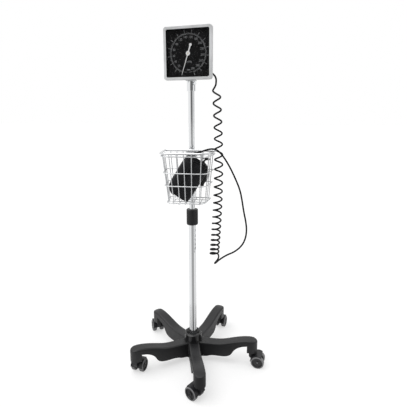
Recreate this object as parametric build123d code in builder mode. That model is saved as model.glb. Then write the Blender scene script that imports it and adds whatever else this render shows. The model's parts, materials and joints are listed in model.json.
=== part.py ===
from build123d import *

import os
from math import acos, atan2, cos, degrees, pi, radians, sin, sqrt, tan

# Stand-mounted aneroid sphygmomanometer, in millimetres.
# +Z is up, z = 0 is the floor, the origin is on the pole's axis and the dial faces -Y.

os.makedirs("parts", exist_ok=True)

# Clearances
running_gap = 0.05
free_gap = 0.3
weld_sink = 0.3

# Base
arm_count = 5
front_arm_angle = -66.8
stem_circle_r = 232.7
arm_half_width = 20.5
arm_wall = 3.5
arm_roof = 5.0
boss_bottom_z = 60.0
boss_inner_r = 18.0
hub_r = 36.0
hub_bottom_z = 19.0
hub_floor = 11.0
hub_top_z = 88.0
arm_edge_r = 6.0
ring_r = 34.0
ring_height = 28.0
ring_recess_r = 26.0
ring_recess_depth = 12.0

# Casters
wheel_r = 25.0
wheel_width = 16.0
wheel_edge_r = 2.5
wheel_bore_lip_r = 7.5
wheel_recess_r = 17.5
wheel_recess_depth = 3.0
fork_half = 7.5
wheel_side_gap = 0.5
caster_trail = 25.0
axle_r = 3.0
hood_wall = 2.8
hood_gap = 0.8
hood_start_angle = 58.0
hood_end_angle = 176.0
stem_r = 5.5
stem_foot_z = 38.0
stem_top_z = 92.0
stem_flange_r = 9.0
stem_flange = 1.3
neck_r = 10.0
neck_foot_z = 50.0
fork_axle_r = 10.0
caster_directions = (155.0, 0.0, 87.0, 125.0, 88.0)

# Pole
lower_r = 14.0
upper_r = 11.0
tube_wall = 1.5
lower_top_z = 596.0
plug_length = 25.0
bolt_r = 4.0
bolt_length = 34.0
bolt_head_r = 9.0
bolt_head = 7.0
upper_foot_z = 152.0
upper_top_z = 1057.0
glide_length = 30.0
collar_r = 21.0
collar_foot_z = 558.4
collar_height = 58.0
collar_floor = 7.0
collar_roof = 3.8
collar_wall = 4.3
collar_edge_r = 3.0
rib_count = 36
rib_r = 0.9
collet_depth = 36.0
collet_flange = 4.0
collet_nose = 11.0
collet_nose_r = 14.0

# Basket, turned a little towards the right of the dial
basket_turn = 8.0
basket_shift = -3.0
rim_z = 829.0
floor_z = 664.0
back_y = -18.0
rim_back_half = 90.0
rim_front_half = 76.0
rim_depth = 125.0
floor_width_share = 0.82
floor_depth_share = 0.80
front_corner_r = 28.0
back_corner_r = 12.0
rim_rod_r = 3.5
second_rod_r = 2.0
second_rod_drop = 9.5
hoop_r = 1.75
hoop_zs = (765.0, 722.0)
floor_rod_r = 2.0
upright_r = 1.5
front_upright_xs = (-47.0, -23.0, 1.0, 26.0)
corner_upright_angles = (45.0, 15.0)
back_upright_xs = (-68.0, -46.0, -24.0, 24.0, 46.0, 68.0)
side_upright_shares = (0.22, 0.46, 0.70)
clamp_half_width = 18.0
clamp_height = 26.0
clamp_back_y = 17.0
clamp_lip = 5.0
clamp_slot = 2.0
clamp_screw_r = 2.0
clamp_screw_head_r = 3.6
clamp_screw_head = 3.0
clamp_screw_edge = 3.6
clamp_screw_depth = 24.0
clamp_screw_heights = (0.28, 0.72)

# Gauge
case_foot_z = 1059.5
case_half = 81.5
case_wall = 2.5
case_corner_r = 9.0
case_front_y = -34.0
case_back_y = 12.0
case_rim_back_y = -26.0
case_step = 4.5
case_draw = 15.5
back_corner_r = 8.0
foot_block_half = 16.0
foot_block_corner_r = 4.0
bezel_front_y = -40.0
frame_width = 8.5
window_corner_r = 5.0
lens_seat = 2.0
lens_thick = 2.0
lens_corner_r = 6.0
bezel_lip = 2.5
spigot_lip = 5.0
dial_gap = 1.5
dial_thick = 1.0
dial_y = -31.0
dial_hole_r = 2.5
sleeve_r = 15.0
sleeve_foot_z = 1026.0
sleeve_cap = 2.0
spigot_r = 6.5
nut_r = 10.4
nut_height = 5.0
set_screw_angle = -40.0
set_screw_z = 1050.0
set_screw_r = 3.0
set_screw_head_r = 5.0
set_screw_head = 8.0

# Movement inside the gauge
post_r = 2.5
post_places = ((-48.0, -30.0), (-48.0, 30.0), (48.0, 30.0))
post_screw_r = 1.2
post_screw_depth = 10.0
post_screw_head_r = 3.2
post_screw_head = 2.2
plate_half_x = 55.0
plate_half_z = 37.0
plate_thick = 2.0
plate_corner_r = 4.0
base_plate_y = -12.0
top_plate_y = -24.0
module = 0.5
pinion_teeth = 14
gear_ratio = 8
pressure_angle = 25.0
addendum = 0.8
dedendum = 1.15
backlash = 0.12
gear_thick = 2.0
gear_y = -17.5
pinion_extra = 0.5
arbor_r = 1.5
sector_angle = 143.13
sector_teeth_before = 3
sector_teeth_after = 15
sector_rim = 4.0
sector_hub_r = 5.0
sector_arm = 7.0
crank_length = 13.0
crank_half_width = 2.0
crank_thick = 1.0
zero_angle = -108.4
pointer_tip = 69.0
pointer_tail = 27.0
pointer_half = 1.6
pointer_tail_half = 2.6
pointer_dot_r = 4.5
pointer_hub_r = 7.0
pointer_thick = 1.0
pointer_gap = 1.2
hairspring_inner_r = 2.6
hairspring_step = 0.9
hairspring_halves = 11
hairspring_half_width = 0.15
hairspring_height = 1.2
hairspring_y = -21.5
capsule_x = 30.0
capsule_drop = 30.0
capsule_r = 28.0
capsule_back_y = 0.5
capsule_thick = 3.0
capsule_discs = 3
capsule_step_r = 7.0
capsule_boss_r = 4.0
port_r = 4.0
port_back_y = 22.0
port_bend_r = 8.0
port_reach = 45.0

# Cuff and bulb, placed in the basket
cuff_x = 4.0
cuff_z = 744.0
cuff_width = 97.0
cuff_length = 140.0
cuff_thick = 57.0
cuff_corner_r = 30.0
cuff_lean = 62.0
cuff_front_gap = 1.3
bulb_x = 46.0
bulb_y = -46.2
bulb_z = 757.0
bulb_r = 23.0
bulb_half_length = 40.0
bulb_neck_r = 8.0
bulb_valve_r = 6.5
bulb_valve_length = 6.0
valve_r = 6.0
valve_length = 18.0
valve_port_r = 2.8
valve_port_length = 4.0
knob_r = 6.5
knob_height = 9.0
knob_ribs = 16
knob_rib_r = 0.6
knob_pin_r = 2.0
knob_pin_length = 8.0
connector_r = 4.5
connector_depth = 8.0
connector_stand = 2.5
connector_angles = (0.0, 5.0)

# Tube
tube_r = 3.0
coil_top_r = 12.5
coil_foot_r = 16.0
coil_turns = 21.0
coil_top_z = 1050.5
coil_first_pitch = 43.6
coil_pitch_loss = 1.37
coil_top_x = 80.5
coil_foot_x = 78.5
coil_y = 22.0
coil_bow = 12.5
view_turn = 16.14

# Worked-out places
hub_height = hub_top_z - hub_bottom_z
tube_foot_z = hub_bottom_z + hub_floor
lower_bore_r = lower_r - tube_wall
upper_bore_r = upper_r - tube_wall
collar_top_z = collar_foot_z + collar_height
collar_bore_r = collar_r - collar_wall
back_inner_y = case_back_y - case_wall
gauge_z = case_foot_z + case_half
window_half = case_half - frame_width
lens_half = window_half + lens_seat
dial_half = case_half - case_wall - dial_gap
shoulder_half = case_half - case_step
back_half = case_half - case_draw
case_slope = (shoulder_half - back_half) / (case_back_y - case_rim_back_y)


def bend_radii(points):
    """Largest arcs that a tube's runs allow, one for each corner of its route."""
    radii = []
    for before, corner, after in zip(points, points[1:], points[2:]):
        run_in = Vector(*corner) - Vector(*before)
        run_out = Vector(*after) - Vector(*corner)
        turn = radians(run_in.get_angle(run_out))
        radii.append(0.45 * min(run_in.length, run_out.length) / tan(turn / 2))
    return radii


def report_tube(name, points, piece):
    radii = bend_radii(points)
    runs = [(Vector(*b) - Vector(*a)).length for a, b in zip(points, points[1:])]
    with BuildLine() as route:
        FilletPolyline(*points, radius=radii)
    length = route.wire().length
    expected = pi * tube_r**2 * length
    print(f"{name}: length {length:.0f} mm, runs {[round(r) for r in runs]}, radii {[round(r) for r in radii]}")
    print(f"{name}: volume {piece.volume:.0f} against {expected:.0f}")


def straight_rod(start, end, radius):
    """Round rod between two points."""
    start = Vector(*start)
    end = Vector(*end)
    with BuildPart() as rod:
        with BuildSketch(Plane(origin=start, z_dir=end - start)):
            Circle(radius)
        extrude(amount=(end - start).length)
    return rod.part


def bent_tube(points, radius):
    """Round tube along straight runs joined by tangent arcs."""
    with BuildPart() as tube:
        with BuildLine() as route:
            FilletPolyline(*points, radius=bend_radii(points))
        with BuildSketch(Plane(origin=points[0], z_dir=Vector(*points[1]) - Vector(*points[0]))):
            Circle(radius)
        sweep(path=route.line)
    return tube.part


# Star base: five hollow arms with a deep skirt near the hub and a socket boss at each tip
arm_roof_points = [(0, 84), (70, 84), (115, 87), (160, 99), (205, 109), (232, 110), (256, 103)]
arm_skirt_points = [(205, 86), (184, 79), (165, 64), (150, 42), (138, 36), (95, 33), (60, 26)]
arm_cavity_points = [(205, 99), (160, 93), (115, 81), (44, 78)]
boss_edge = stem_circle_r - boss_inner_r
arm_tip_x = stem_circle_r + arm_half_width

with BuildPart() as arm:
    with BuildSketch(Plane.XZ):
        with BuildLine():
            roof = Spline(*arm_roof_points)
            skirt = Spline(*arm_skirt_points)
            Polyline(roof @ 1, ((roof @ 1).X, boss_bottom_z), (boss_edge, boss_bottom_z), (boss_edge, 88), skirt @ 0)
            Polyline(skirt @ 1, (0, hub_bottom_z), roof @ 0)
        make_face()
    extrude(amount=arm_half_width + 1, both=True)
    with BuildSketch(Plane.XY):
        with Locations((stem_circle_r / 2, 0)):
            Rectangle(stem_circle_r, 2 * arm_half_width)
        with Locations((stem_circle_r, 0)):
            Circle(arm_half_width)
    extrude(amount=2 * hub_top_z, mode=Mode.INTERSECT)
    top_face = arm.faces().filter_by(lambda face: face.normal_at().Z > 0.6).sort_by(SortBy.AREA)[-1]
    side_edges = top_face.edges().filter_by(lambda edge: edge.center().X > 1)
    fillet(side_edges, radius=arm_edge_r)
    with BuildSketch(Plane.XZ):
        with BuildLine():
            ceiling = Polyline(*arm_cavity_points)
            Polyline(ceiling @ 1, (44, hub_bottom_z - 5), (205, hub_bottom_z - 5), ceiling @ 0)
        make_face()
    extrude(amount=arm_half_width - arm_wall, both=True, mode=Mode.SUBTRACT)

with BuildPart() as star_base:
    with PolarLocations(0, arm_count, start_angle=front_arm_angle):
        add(arm.part)
    with BuildSketch(Plane.XY.offset(hub_bottom_z)):
        Circle(hub_r)
    extrude(amount=hub_height)
    with Locations((0, 0, hub_top_z)):
        Hole(lower_r, depth=hub_height - hub_floor)
        Hole(bolt_r + free_gap, depth=hub_height)
    with BuildSketch(Plane.XY.offset(boss_bottom_z)):
        with PolarLocations(stem_circle_r, arm_count, start_angle=front_arm_angle):
            Circle(stem_r)
    extrude(amount=stem_top_z - boss_bottom_z, mode=Mode.SUBTRACT)
star_base.part.label = "star_base"
export_step(star_base.part, "parts/star_base.step")

with BuildPart() as hub_collar:
    with BuildSketch(Plane.XZ):
        with BuildLine():
            Polyline(
                (lower_r + running_gap, hub_top_z),
                (ring_r, hub_top_z),
                (ring_r, hub_top_z + ring_height - 3),
                (ring_r - 3, hub_top_z + ring_height),
                (ring_recess_r, hub_top_z + ring_height),
                (lower_r + 3, hub_top_z + ring_height - ring_recess_depth),
                (lower_r + running_gap, hub_top_z + ring_height - ring_recess_depth),
                close=True,
            )
        make_face()
    revolve(axis=Axis.Z)
hub_collar.part.label = "hub_collar"
export_step(hub_collar.part, "parts/hub_collar.step")

with BuildPart() as caster_stems:
    with BuildSketch(Plane.XY.offset(stem_foot_z)):
        with PolarLocations(stem_circle_r, arm_count, start_angle=front_arm_angle):
            Circle(stem_r)
    extrude(amount=stem_top_z - stem_foot_z)
    with BuildSketch(Plane.XY.offset(boss_bottom_z - stem_flange)):
        with PolarLocations(stem_circle_r, arm_count, start_angle=front_arm_angle):
            Circle(stem_flange_r)
    extrude(amount=stem_flange)
caster_stems.part.label = "caster_stems"
export_step(caster_stems.part, "parts/caster_stems.step")

with BuildPart() as tube_bolt:
    with BuildSketch(Plane.XY.offset(hub_bottom_z)):
        Circle(bolt_r)
    extrude(amount=bolt_length)
    with BuildSketch(Plane.XY.offset(hub_bottom_z - bolt_head)):
        RegularPolygon(bolt_head_r, 6)
    extrude(amount=bolt_head)
tube_bolt.part.label = "tube_bolt"
export_step(tube_bolt.part, "parts/tube_bolt.step")

# Casters, modelled with the stem on Z and the wheels trailing along +X
neck_top_z = boss_bottom_z - stem_flange - free_gap
wheel_inner_y = fork_half + wheel_side_gap
wheel_outer_y = wheel_inner_y + wheel_width
hood_inner_r = wheel_r + hood_gap
hood_outer_r = hood_inner_r + hood_wall

with BuildPart() as caster_housing:
    with BuildSketch(Plane.XZ):
        with Locations((caster_trail, wheel_r)):
            Circle(fork_axle_r)
        with BuildLine():
            Polyline(
                (-neck_r, neck_top_z),
                (neck_r, neck_top_z),
                (caster_trail + fork_axle_r * 0.8, wheel_r + fork_axle_r * 0.6),
                (caster_trail - fork_axle_r * 0.3, wheel_r - fork_axle_r * 0.95),
                (-neck_r * 0.8, stem_foot_z - 3),
                (-neck_r, stem_foot_z + 3),
                close=True,
            )
        make_face()
    extrude(amount=fork_half, both=True)
    with BuildSketch(Plane.XY.offset(neck_foot_z)):
        Circle(neck_r)
    extrude(amount=neck_top_z - neck_foot_z)
    with BuildSketch(Plane.XZ):
        with Locations((caster_trail, wheel_r)):
            Circle(hood_outer_r)
            Circle(hood_inner_r, mode=Mode.SUBTRACT)
        with BuildLine():
            start = (caster_trail + 60 * cos(radians(hood_start_angle)), wheel_r + 60 * sin(radians(hood_start_angle)))
            end = (caster_trail + 60 * cos(radians(hood_end_angle)), wheel_r + 60 * sin(radians(hood_end_angle)))
            Polyline((caster_trail, wheel_r), start, (caster_trail - 40, wheel_r + 60), end, close=True)
        make_face(mode=Mode.INTERSECT)
    extrude(amount=wheel_outer_y - 1.0, both=True)
    with Locations((0, 0, neck_top_z)):
        Hole(stem_r + running_gap, depth=neck_top_z - stem_foot_z + free_gap)
    with BuildSketch(Plane.XZ):
        with Locations((caster_trail, wheel_r)):
            Circle(axle_r)
    extrude(amount=fork_half + 1, both=True, mode=Mode.SUBTRACT)

with BuildPart() as caster_axle:
    with BuildSketch(Plane.XZ):
        with Locations((caster_trail, wheel_r)):
            Circle(axle_r)
    extrude(amount=wheel_outer_y - wheel_recess_depth, both=True)

with BuildPart() as wheel_left:
    with BuildSketch(Plane.XY.offset(wheel_r)):
        with BuildLine():
            Polyline(
                (caster_trail + axle_r + running_gap, wheel_inner_y),
                (caster_trail + wheel_r - wheel_edge_r, wheel_inner_y),
                (caster_trail + wheel_r, wheel_inner_y + wheel_edge_r),
                (caster_trail + wheel_r, wheel_outer_y - wheel_edge_r),
                (caster_trail + wheel_r - wheel_edge_r, wheel_outer_y),
                (caster_trail + wheel_recess_r, wheel_outer_y),
                (caster_trail + wheel_recess_r - 1.5, wheel_outer_y - wheel_recess_depth),
                (caster_trail + wheel_bore_lip_r, wheel_outer_y - wheel_recess_depth),
                (caster_trail + wheel_bore_lip_r, wheel_outer_y - 0.5),
                (caster_trail + axle_r + running_gap, wheel_outer_y - 0.5),
                close=True,
            )
        make_face()
    revolve(axis=Axis((caster_trail, 0, wheel_r), (0, 1, 0)))

with BuildPart() as wheel_right:
    add(mirror(wheel_left.part, about=Plane.XZ, mode=Mode.PRIVATE))

caster_pieces = {
    "caster_housing": caster_housing.part,
    "caster_axle": caster_axle.part,
    "wheel_left": wheel_left.part,
    "wheel_right": wheel_right.part,
}
for index, direction in enumerate(caster_directions):
    arm_angle = radians(front_arm_angle + index * 360 / arm_count)
    stem_foot = (stem_circle_r * cos(arm_angle), stem_circle_r * sin(arm_angle), 0)
    trail = (cos(radians(direction)), sin(radians(direction)), 0)
    for name, piece in caster_pieces.items():
        with BuildPart() as placed:
            with Locations(Plane(origin=stem_foot, x_dir=trail, z_dir=(0, 0, 1)).location):
                add(piece)
        placed.part.label = f"{name}_{index + 1}"
        export_step(placed.part, f"parts/{name}_{index + 1}.step")

# Pole
with BuildPart() as lower_tube:
    with BuildSketch(Plane.XY.offset(tube_foot_z)):
        Circle(lower_r)
    extrude(amount=lower_top_z - tube_foot_z)
    with Locations((0, 0, lower_top_z)):
        Hole(lower_bore_r, depth=lower_top_z - tube_foot_z - plug_length)
        Hole(bolt_r, depth=lower_top_z - tube_foot_z)
lower_tube.part.label = "lower_tube"
export_step(lower_tube.part, "parts/lower_tube.step")

with BuildPart() as upper_tube:
    with BuildSketch(Plane.XY.offset(upper_foot_z)):
        Circle(upper_r)
        Circle(upper_bore_r, mode=Mode.SUBTRACT)
    extrude(amount=upper_top_z - upper_foot_z)
upper_tube.part.label = "upper_tube"
export_step(upper_tube.part, "parts/upper_tube.step")

with BuildPart() as glide_bush:
    with BuildSketch(Plane.XY.offset(upper_foot_z)):
        Circle(lower_bore_r - running_gap)
        Circle(upper_r, mode=Mode.SUBTRACT)
    extrude(amount=glide_length)
glide_bush.part.label = "glide_bush"
export_step(glide_bush.part, "parts/glide_bush.step")

with BuildPart() as lock_collet:
    with BuildSketch(Plane.XZ):
        with BuildLine():
            Polyline(
                (upper_r + running_gap, lower_top_z - collet_depth),
                (lower_bore_r, lower_top_z - collet_depth),
                (lower_bore_r, lower_top_z),
                (collar_bore_r - free_gap, lower_top_z),
                (collar_bore_r - free_gap, lower_top_z + collet_flange),
                (collet_nose_r, lower_top_z + collet_flange + collet_nose),
                (upper_r + running_gap, lower_top_z + collet_flange + collet_nose),
                close=True,
            )
        make_face()
    revolve(axis=Axis.Z)
lock_collet.part.label = "lock_collet"
export_step(lock_collet.part, "parts/lock_collet.step")

with BuildPart() as lock_collar:
    with BuildSketch(Plane.XY.offset(collar_foot_z)):
        Circle(collar_r)
    extrude(amount=collar_height)
    fillet(lock_collar.edges().filter_by(GeomType.CIRCLE), radius=collar_edge_r)
    with BuildSketch(Plane.XY.offset(collar_foot_z + 2 * collar_edge_r)):
        with PolarLocations(collar_r + rib_r / 2, rib_count):
            Circle(rib_r)
    extrude(amount=collar_height - 4 * collar_edge_r, mode=Mode.SUBTRACT)
    with BuildSketch(Plane.XY.offset(collar_foot_z + collar_floor)):
        Circle(collar_bore_r)
    extrude(amount=collar_height - collar_floor - collar_roof, mode=Mode.SUBTRACT)
    with BuildSketch(Plane.XY.offset(collar_foot_z)):
        Circle(lower_r + free_gap)
    extrude(amount=collar_floor, mode=Mode.SUBTRACT)
    with BuildSketch(Plane.XY.offset(collar_top_z - collar_roof)):
        Circle(upper_r + free_gap)
    extrude(amount=collar_roof, mode=Mode.SUBTRACT)
lock_collar.part.label = "lock_collar"
export_step(lock_collar.part, "parts/lock_collar.step")

# Basket: a plan with a straight back, sides that draw in towards the front, and round front corners
basket_plane = Plane(origin=(0, 0, 0), x_dir=(cos(radians(basket_turn)), sin(radians(basket_turn)), 0), z_dir=(0, 0, 1))
basket_height = rim_z - floor_z


def in_basket(x, y, z):
    """Turns a place measured along the basket's own back wall into the model's frame."""
    return basket_plane.from_local_coords(Vector(x + basket_shift, y, z))


def shares(z):
    drop = (rim_z - z) / basket_height
    return 1 - (1 - floor_width_share) * drop, 1 - (1 - floor_depth_share) * drop


def plan_corners(z):
    """Sharp corners of the basket's plan at a height, from back left round the front to back right."""
    width, depth = shares(z)
    front_y = back_y - rim_depth * depth
    back = rim_back_half * width
    front = rim_front_half * width
    return [(-back, back_y), (-front, front_y), (front, front_y), (back, back_y)]


def ring(z, rod_r):
    width, _ = shares(z)
    radii = [back_corner_r * width, front_corner_r * width, front_corner_r * width, back_corner_r * width]
    corners = [in_basket(x, y, z) for x, y in plan_corners(z)]
    with BuildPart() as rod:
        with BuildLine() as path:
            FilletPolyline(*corners, radius=radii, close=True)
        with BuildSketch(Plane(origin=path.line @ 0, z_dir=path.line % 0)):
            Circle(rod_r)
        sweep(path=path.line)
    return rod.part


def upright(place_at):
    """Wire along the inside of the rings, from under the rim to the floor."""
    top_z = rim_z - rim_rod_r - free_gap
    foot_z = floor_z - floor_rod_r - 2 * upright_r + weld_sink
    return straight_rod(in_basket(*place_at(top_z), top_z), in_basket(*place_at(foot_z), foot_z), upright_r)


inset = hoop_r + upright_r - weld_sink


def front_place(x):
    def place_at(z):
        width, _ = shares(z)
        return x * width, plan_corners(z)[1][1] + inset

    return place_at


def back_place(x):
    def place_at(z):
        width, _ = shares(z)
        return x * width, back_y - inset

    return place_at


def side_place(side, share):
    def place_at(z):
        back, front = plan_corners(z)[0], plan_corners(z)[1]
        run = Vector(front[0] - back[0], front[1] - back[1])
        inward = Vector(-run.Y, run.X).normalized()
        spot = Vector(*back) + run * share + inward * inset
        return side * -spot.X, spot.Y

    return place_at


def corner_place(side, angle):
    def place_at(z):
        width, _ = shares(z)
        back, corner, other, _ = (Vector(*p) for p in plan_corners(z))
        to_back = (back - corner).normalized()
        to_front = (other - corner).normalized()
        half = radians(to_back.get_angle(to_front)) / 2
        radius = front_corner_r * width
        centre = corner + (to_back + to_front).normalized() * (radius / sin(half))
        away = Vector(sin(radians(angle)), cos(radians(angle)))
        spot = centre - away * (radius - inset)
        return side * -spot.X, spot.Y

    return place_at


with BuildPart() as basket_rings:
    add(ring(rim_z, rim_rod_r))
    add(ring(rim_z - second_rod_drop, second_rod_r))
    for z in hoop_zs:
        add(ring(z, hoop_r))
    add(ring(floor_z, floor_rod_r))
basket_rings.part.label = "basket_rings"
export_step(basket_rings.part, "parts/basket_rings.step")

upright_places = [front_place(x) for x in front_upright_xs]
upright_places += [back_place(x) for x in back_upright_xs]
upright_places += [side_place(side, share) for side in (-1, 1) for share in side_upright_shares]
upright_places += [corner_place(side, angle) for side, angle in zip((-1, 1), corner_upright_angles)]

with BuildPart() as basket_uprights:
    for place_at in upright_places:
        add(upright(place_at))
basket_uprights.part.label = "basket_uprights"
export_step(basket_uprights.part, "parts/basket_uprights.step")

floor_wire_z = floor_z - floor_rod_r - upright_r + weld_sink
cross_wire_z = floor_wire_z + 2 * upright_r - weld_sink
with BuildPart() as basket_floor:
    for x in (-56.0, -28.0, 0.0, 28.0, 56.0):
        width, depth = shares(floor_z)
        near_y = back_y - rim_depth * depth + (inset if abs(x) < 50 else 14.0)
        start = in_basket(x * width, back_y - inset, floor_wire_z)
        add(straight_rod(start, in_basket(x * width, near_y, floor_wire_z), upright_r))
    for share in (0.35, 0.7):
        back, front = plan_corners(floor_z)[0], plan_corners(floor_z)[1]
        half = abs(back[0] + (front[0] - back[0]) * share) - floor_rod_r
        y = back[1] + (front[1] - back[1]) * share
        add(straight_rod(in_basket(-half, y, cross_wire_z), in_basket(half, y, cross_wire_z), upright_r))
basket_floor.part.label = "basket_floor"
export_step(basket_floor.part, "parts/basket_floor.step")

# Clamp on the upper tube, with a lip that the second rod sits on
clamp_top_z = rim_z - rim_rod_r
clamp_face_y = back_y + rim_rod_r + free_gap
clamp_foot_z = clamp_top_z - clamp_height
lip_top_z = rim_z - second_rod_drop - second_rod_r - free_gap
lip_y = back_y - second_rod_r - 1.0

clamp_screw_x = clamp_screw_edge - clamp_half_width
clamp_screw_seats = [
    basket_plane.from_local_coords(Vector(clamp_screw_x, clamp_back_y, clamp_foot_z + share * clamp_height))
    for share in clamp_screw_heights
]

with BuildPart() as basket_clamp:
    with BuildSketch(Plane(origin=(0, 0, clamp_foot_z), x_dir=basket_plane.x_dir, z_dir=(0, 0, 1))):
        with BuildLine():
            Polyline(
                (-clamp_half_width, clamp_face_y),
                (clamp_half_width, clamp_face_y),
                (clamp_half_width, clamp_back_y),
                (-clamp_half_width, clamp_back_y),
                close=True,
            )
        make_face()
    extrude(amount=clamp_height)
    fillet(basket_clamp.edges().filter_by(Axis.Z), radius=3)
    with BuildSketch(Plane(origin=(0, 0, lip_top_z - clamp_lip), x_dir=basket_plane.x_dir, z_dir=(0, 0, 1))):
        with Locations((0, (lip_y + clamp_face_y) / 2 + 1)):
            Rectangle(2 * clamp_half_width - 8, clamp_face_y - lip_y + 2)
    extrude(amount=clamp_lip)
    with BuildSketch(Plane.XY.offset(clamp_foot_z)):
        Circle(upper_r)
    extrude(amount=clamp_height, mode=Mode.SUBTRACT)
    with BuildSketch(Plane(origin=(0, 0, clamp_foot_z), x_dir=basket_plane.x_dir, z_dir=(0, 0, 1))):
        with Locations((-clamp_half_width, 0)):
            Rectangle(2 * clamp_half_width, clamp_slot)
    extrude(amount=clamp_height, mode=Mode.SUBTRACT)
    for seat in clamp_screw_seats:
        with BuildSketch(Plane(origin=seat, z_dir=-basket_plane.y_dir)):
            Circle(clamp_screw_r)
        extrude(amount=clamp_screw_depth, mode=Mode.SUBTRACT)
basket_clamp.part.label = "basket_clamp"
export_step(basket_clamp.part, "parts/basket_clamp.step")

with BuildPart() as clamp_screws:
    for seat in clamp_screw_seats:
        with BuildSketch(Plane(origin=seat, z_dir=-basket_plane.y_dir)):
            Circle(clamp_screw_r)
        extrude(amount=clamp_screw_depth)
        with BuildSketch(Plane(origin=seat, z_dir=basket_plane.y_dir)):
            Circle(clamp_screw_head_r)
        extrude(amount=clamp_screw_head)
clamp_screws.part.label = "clamp_screws"
export_step(clamp_screws.part, "parts/clamp_screws.step")

# Cuff, rolled flat and leaning to the right, parallel to the basket's front wall
front_lean = degrees(atan2(rim_depth * (1 - floor_depth_share), basket_height))
cuff_front_y = plan_corners(cuff_z)[1][1] + inset + upright_r + cuff_front_gap
cuff_y = cuff_front_y + cuff_thick / 2 / cos(radians(front_lean))
cuff_up = Vector(0, -sin(radians(front_lean)), cos(radians(front_lean)))
cuff_axis = Vector(cos(radians(cuff_lean)), 0, 0) + cuff_up * sin(radians(cuff_lean))
cuff_face = Vector(0, -cos(radians(front_lean)), -sin(radians(front_lean)))


def basket_direction(vector):
    return basket_plane.x_dir * vector.X + basket_plane.y_dir * vector.Y + Vector(0, 0, vector.Z)


cuff_centre = in_basket(cuff_x, cuff_y, cuff_z)
cuff_long = basket_direction(cuff_axis)
cuff_normal = basket_direction(cuff_face)
cuff_wide = cuff_long.cross(cuff_normal)

def cuff_shoulder(side, angle):
    """Centre of a round corner at the cuff's upper end, and the way out of it."""
    centre = cuff_centre + cuff_wide * side * (cuff_width / 2 - cuff_corner_r)
    centre += cuff_long * (cuff_length / 2 - cuff_corner_r)
    way = cuff_wide * side * sin(radians(angle)) + cuff_long * cos(radians(angle))
    return centre, way


connector_places = []
for side, angle in zip((-1, 1), connector_angles):
    centre, way = cuff_shoulder(side, angle)
    connector_places.append((centre + way * (cuff_corner_r - connector_depth), way))

with BuildPart() as cuff_roll:
    with BuildSketch(Plane(origin=cuff_centre, x_dir=cuff_wide, z_dir=cuff_long)):
        SlotOverall(cuff_width, cuff_thick)
    extrude(amount=cuff_length / 2, both=True)
    with BuildSketch(Plane(origin=cuff_centre, x_dir=cuff_wide, z_dir=cuff_normal)):
        RectangleRounded(cuff_width, cuff_length, cuff_corner_r)
    extrude(amount=cuff_thick, both=True, mode=Mode.INTERSECT)
    for foot, way in connector_places:
        with BuildSketch(Plane(origin=foot, z_dir=way)):
            Circle(connector_r + running_gap)
        extrude(amount=2 * connector_depth, mode=Mode.SUBTRACT)
cuff_roll.part.label = "cuff_roll"
export_step(cuff_roll.part, "parts/cuff_roll.step")

with BuildPart() as tube_connectors:
    for foot, way in connector_places:
        with BuildSketch(Plane(origin=foot, z_dir=way)):
            Circle(connector_r)
        extrude(amount=connector_depth + connector_stand)
tube_connectors.part.label = "tube_connectors"
export_step(tube_connectors.part, "parts/tube_connectors.step")

# Bulb with its inlet valve below and its release valve above
bulb_foot_z = bulb_z - bulb_half_length
bulb_top_z = bulb_z + bulb_half_length
bulb_place = in_basket(bulb_x, bulb_y, 0)
bulb_plane = Plane(origin=(bulb_place.X, bulb_place.Y, 0), x_dir=basket_plane.x_dir, z_dir=-basket_plane.y_dir)
bulb_axis = Axis((bulb_place.X, bulb_place.Y, 0), (0, 0, 1))

with BuildPart() as bulb:
    with BuildSketch(bulb_plane):
        with BuildLine():
            skin = Spline(
                (bulb_neck_r, bulb_foot_z),
                (bulb_r * 0.82, bulb_foot_z + bulb_half_length * 0.36),
                (bulb_r, bulb_z - bulb_half_length * 0.08),
                (bulb_r * 0.76, bulb_z + bulb_half_length * 0.62),
                (bulb_neck_r, bulb_top_z),
            )
            Polyline(skin @ 1, (0, bulb_top_z), (0, bulb_foot_z), skin @ 0)
        make_face()
    revolve(axis=bulb_axis)
bulb.part.label = "bulb"
export_step(bulb.part, "parts/bulb.step")

with BuildPart() as bulb_valve:
    with BuildSketch(Plane(origin=(bulb_place.X, bulb_place.Y, bulb_foot_z - bulb_valve_length))):
        Circle(bulb_valve_r)
    extrude(amount=bulb_valve_length)
    fillet(bulb_valve.edges().group_by(Axis.Z)[0], radius=1.5)
bulb_valve.part.label = "bulb_valve"
export_step(bulb_valve.part, "parts/bulb_valve.step")

valve_top_z = bulb_top_z + valve_length
valve_port_z = bulb_top_z + valve_length / 2
with BuildPart() as release_valve:
    with BuildSketch(Plane(origin=(bulb_place.X, bulb_place.Y, bulb_top_z))):
        Circle(valve_r)
    extrude(amount=valve_length)
    with BuildSketch(Plane(origin=(bulb_place.X, bulb_place.Y, valve_port_z), z_dir=basket_plane.x_dir)):
        Circle(valve_port_r)
    extrude(amount=valve_r + valve_port_length)
    with BuildSketch(Plane(origin=(bulb_place.X, bulb_place.Y, valve_top_z - knob_pin_length - free_gap))):
        Circle(knob_pin_r + running_gap)
    extrude(amount=knob_pin_length + free_gap, mode=Mode.SUBTRACT)
release_valve.part.label = "release_valve"
export_step(release_valve.part, "parts/release_valve.step")

with BuildPart() as valve_knob:
    with BuildSketch(Plane(origin=(bulb_place.X, bulb_place.Y, valve_top_z + free_gap))):
        Circle(knob_r)
        with PolarLocations(knob_r, knob_ribs):
            Circle(knob_rib_r, mode=Mode.SUBTRACT)
    extrude(amount=knob_height)
    with BuildSketch(Plane(origin=(bulb_place.X, bulb_place.Y, valve_top_z - knob_pin_length))):
        Circle(knob_pin_r)
    extrude(amount=knob_pin_length + free_gap)
valve_knob.part.label = "valve_knob"
export_step(valve_knob.part, "parts/valve_knob.step")

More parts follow.
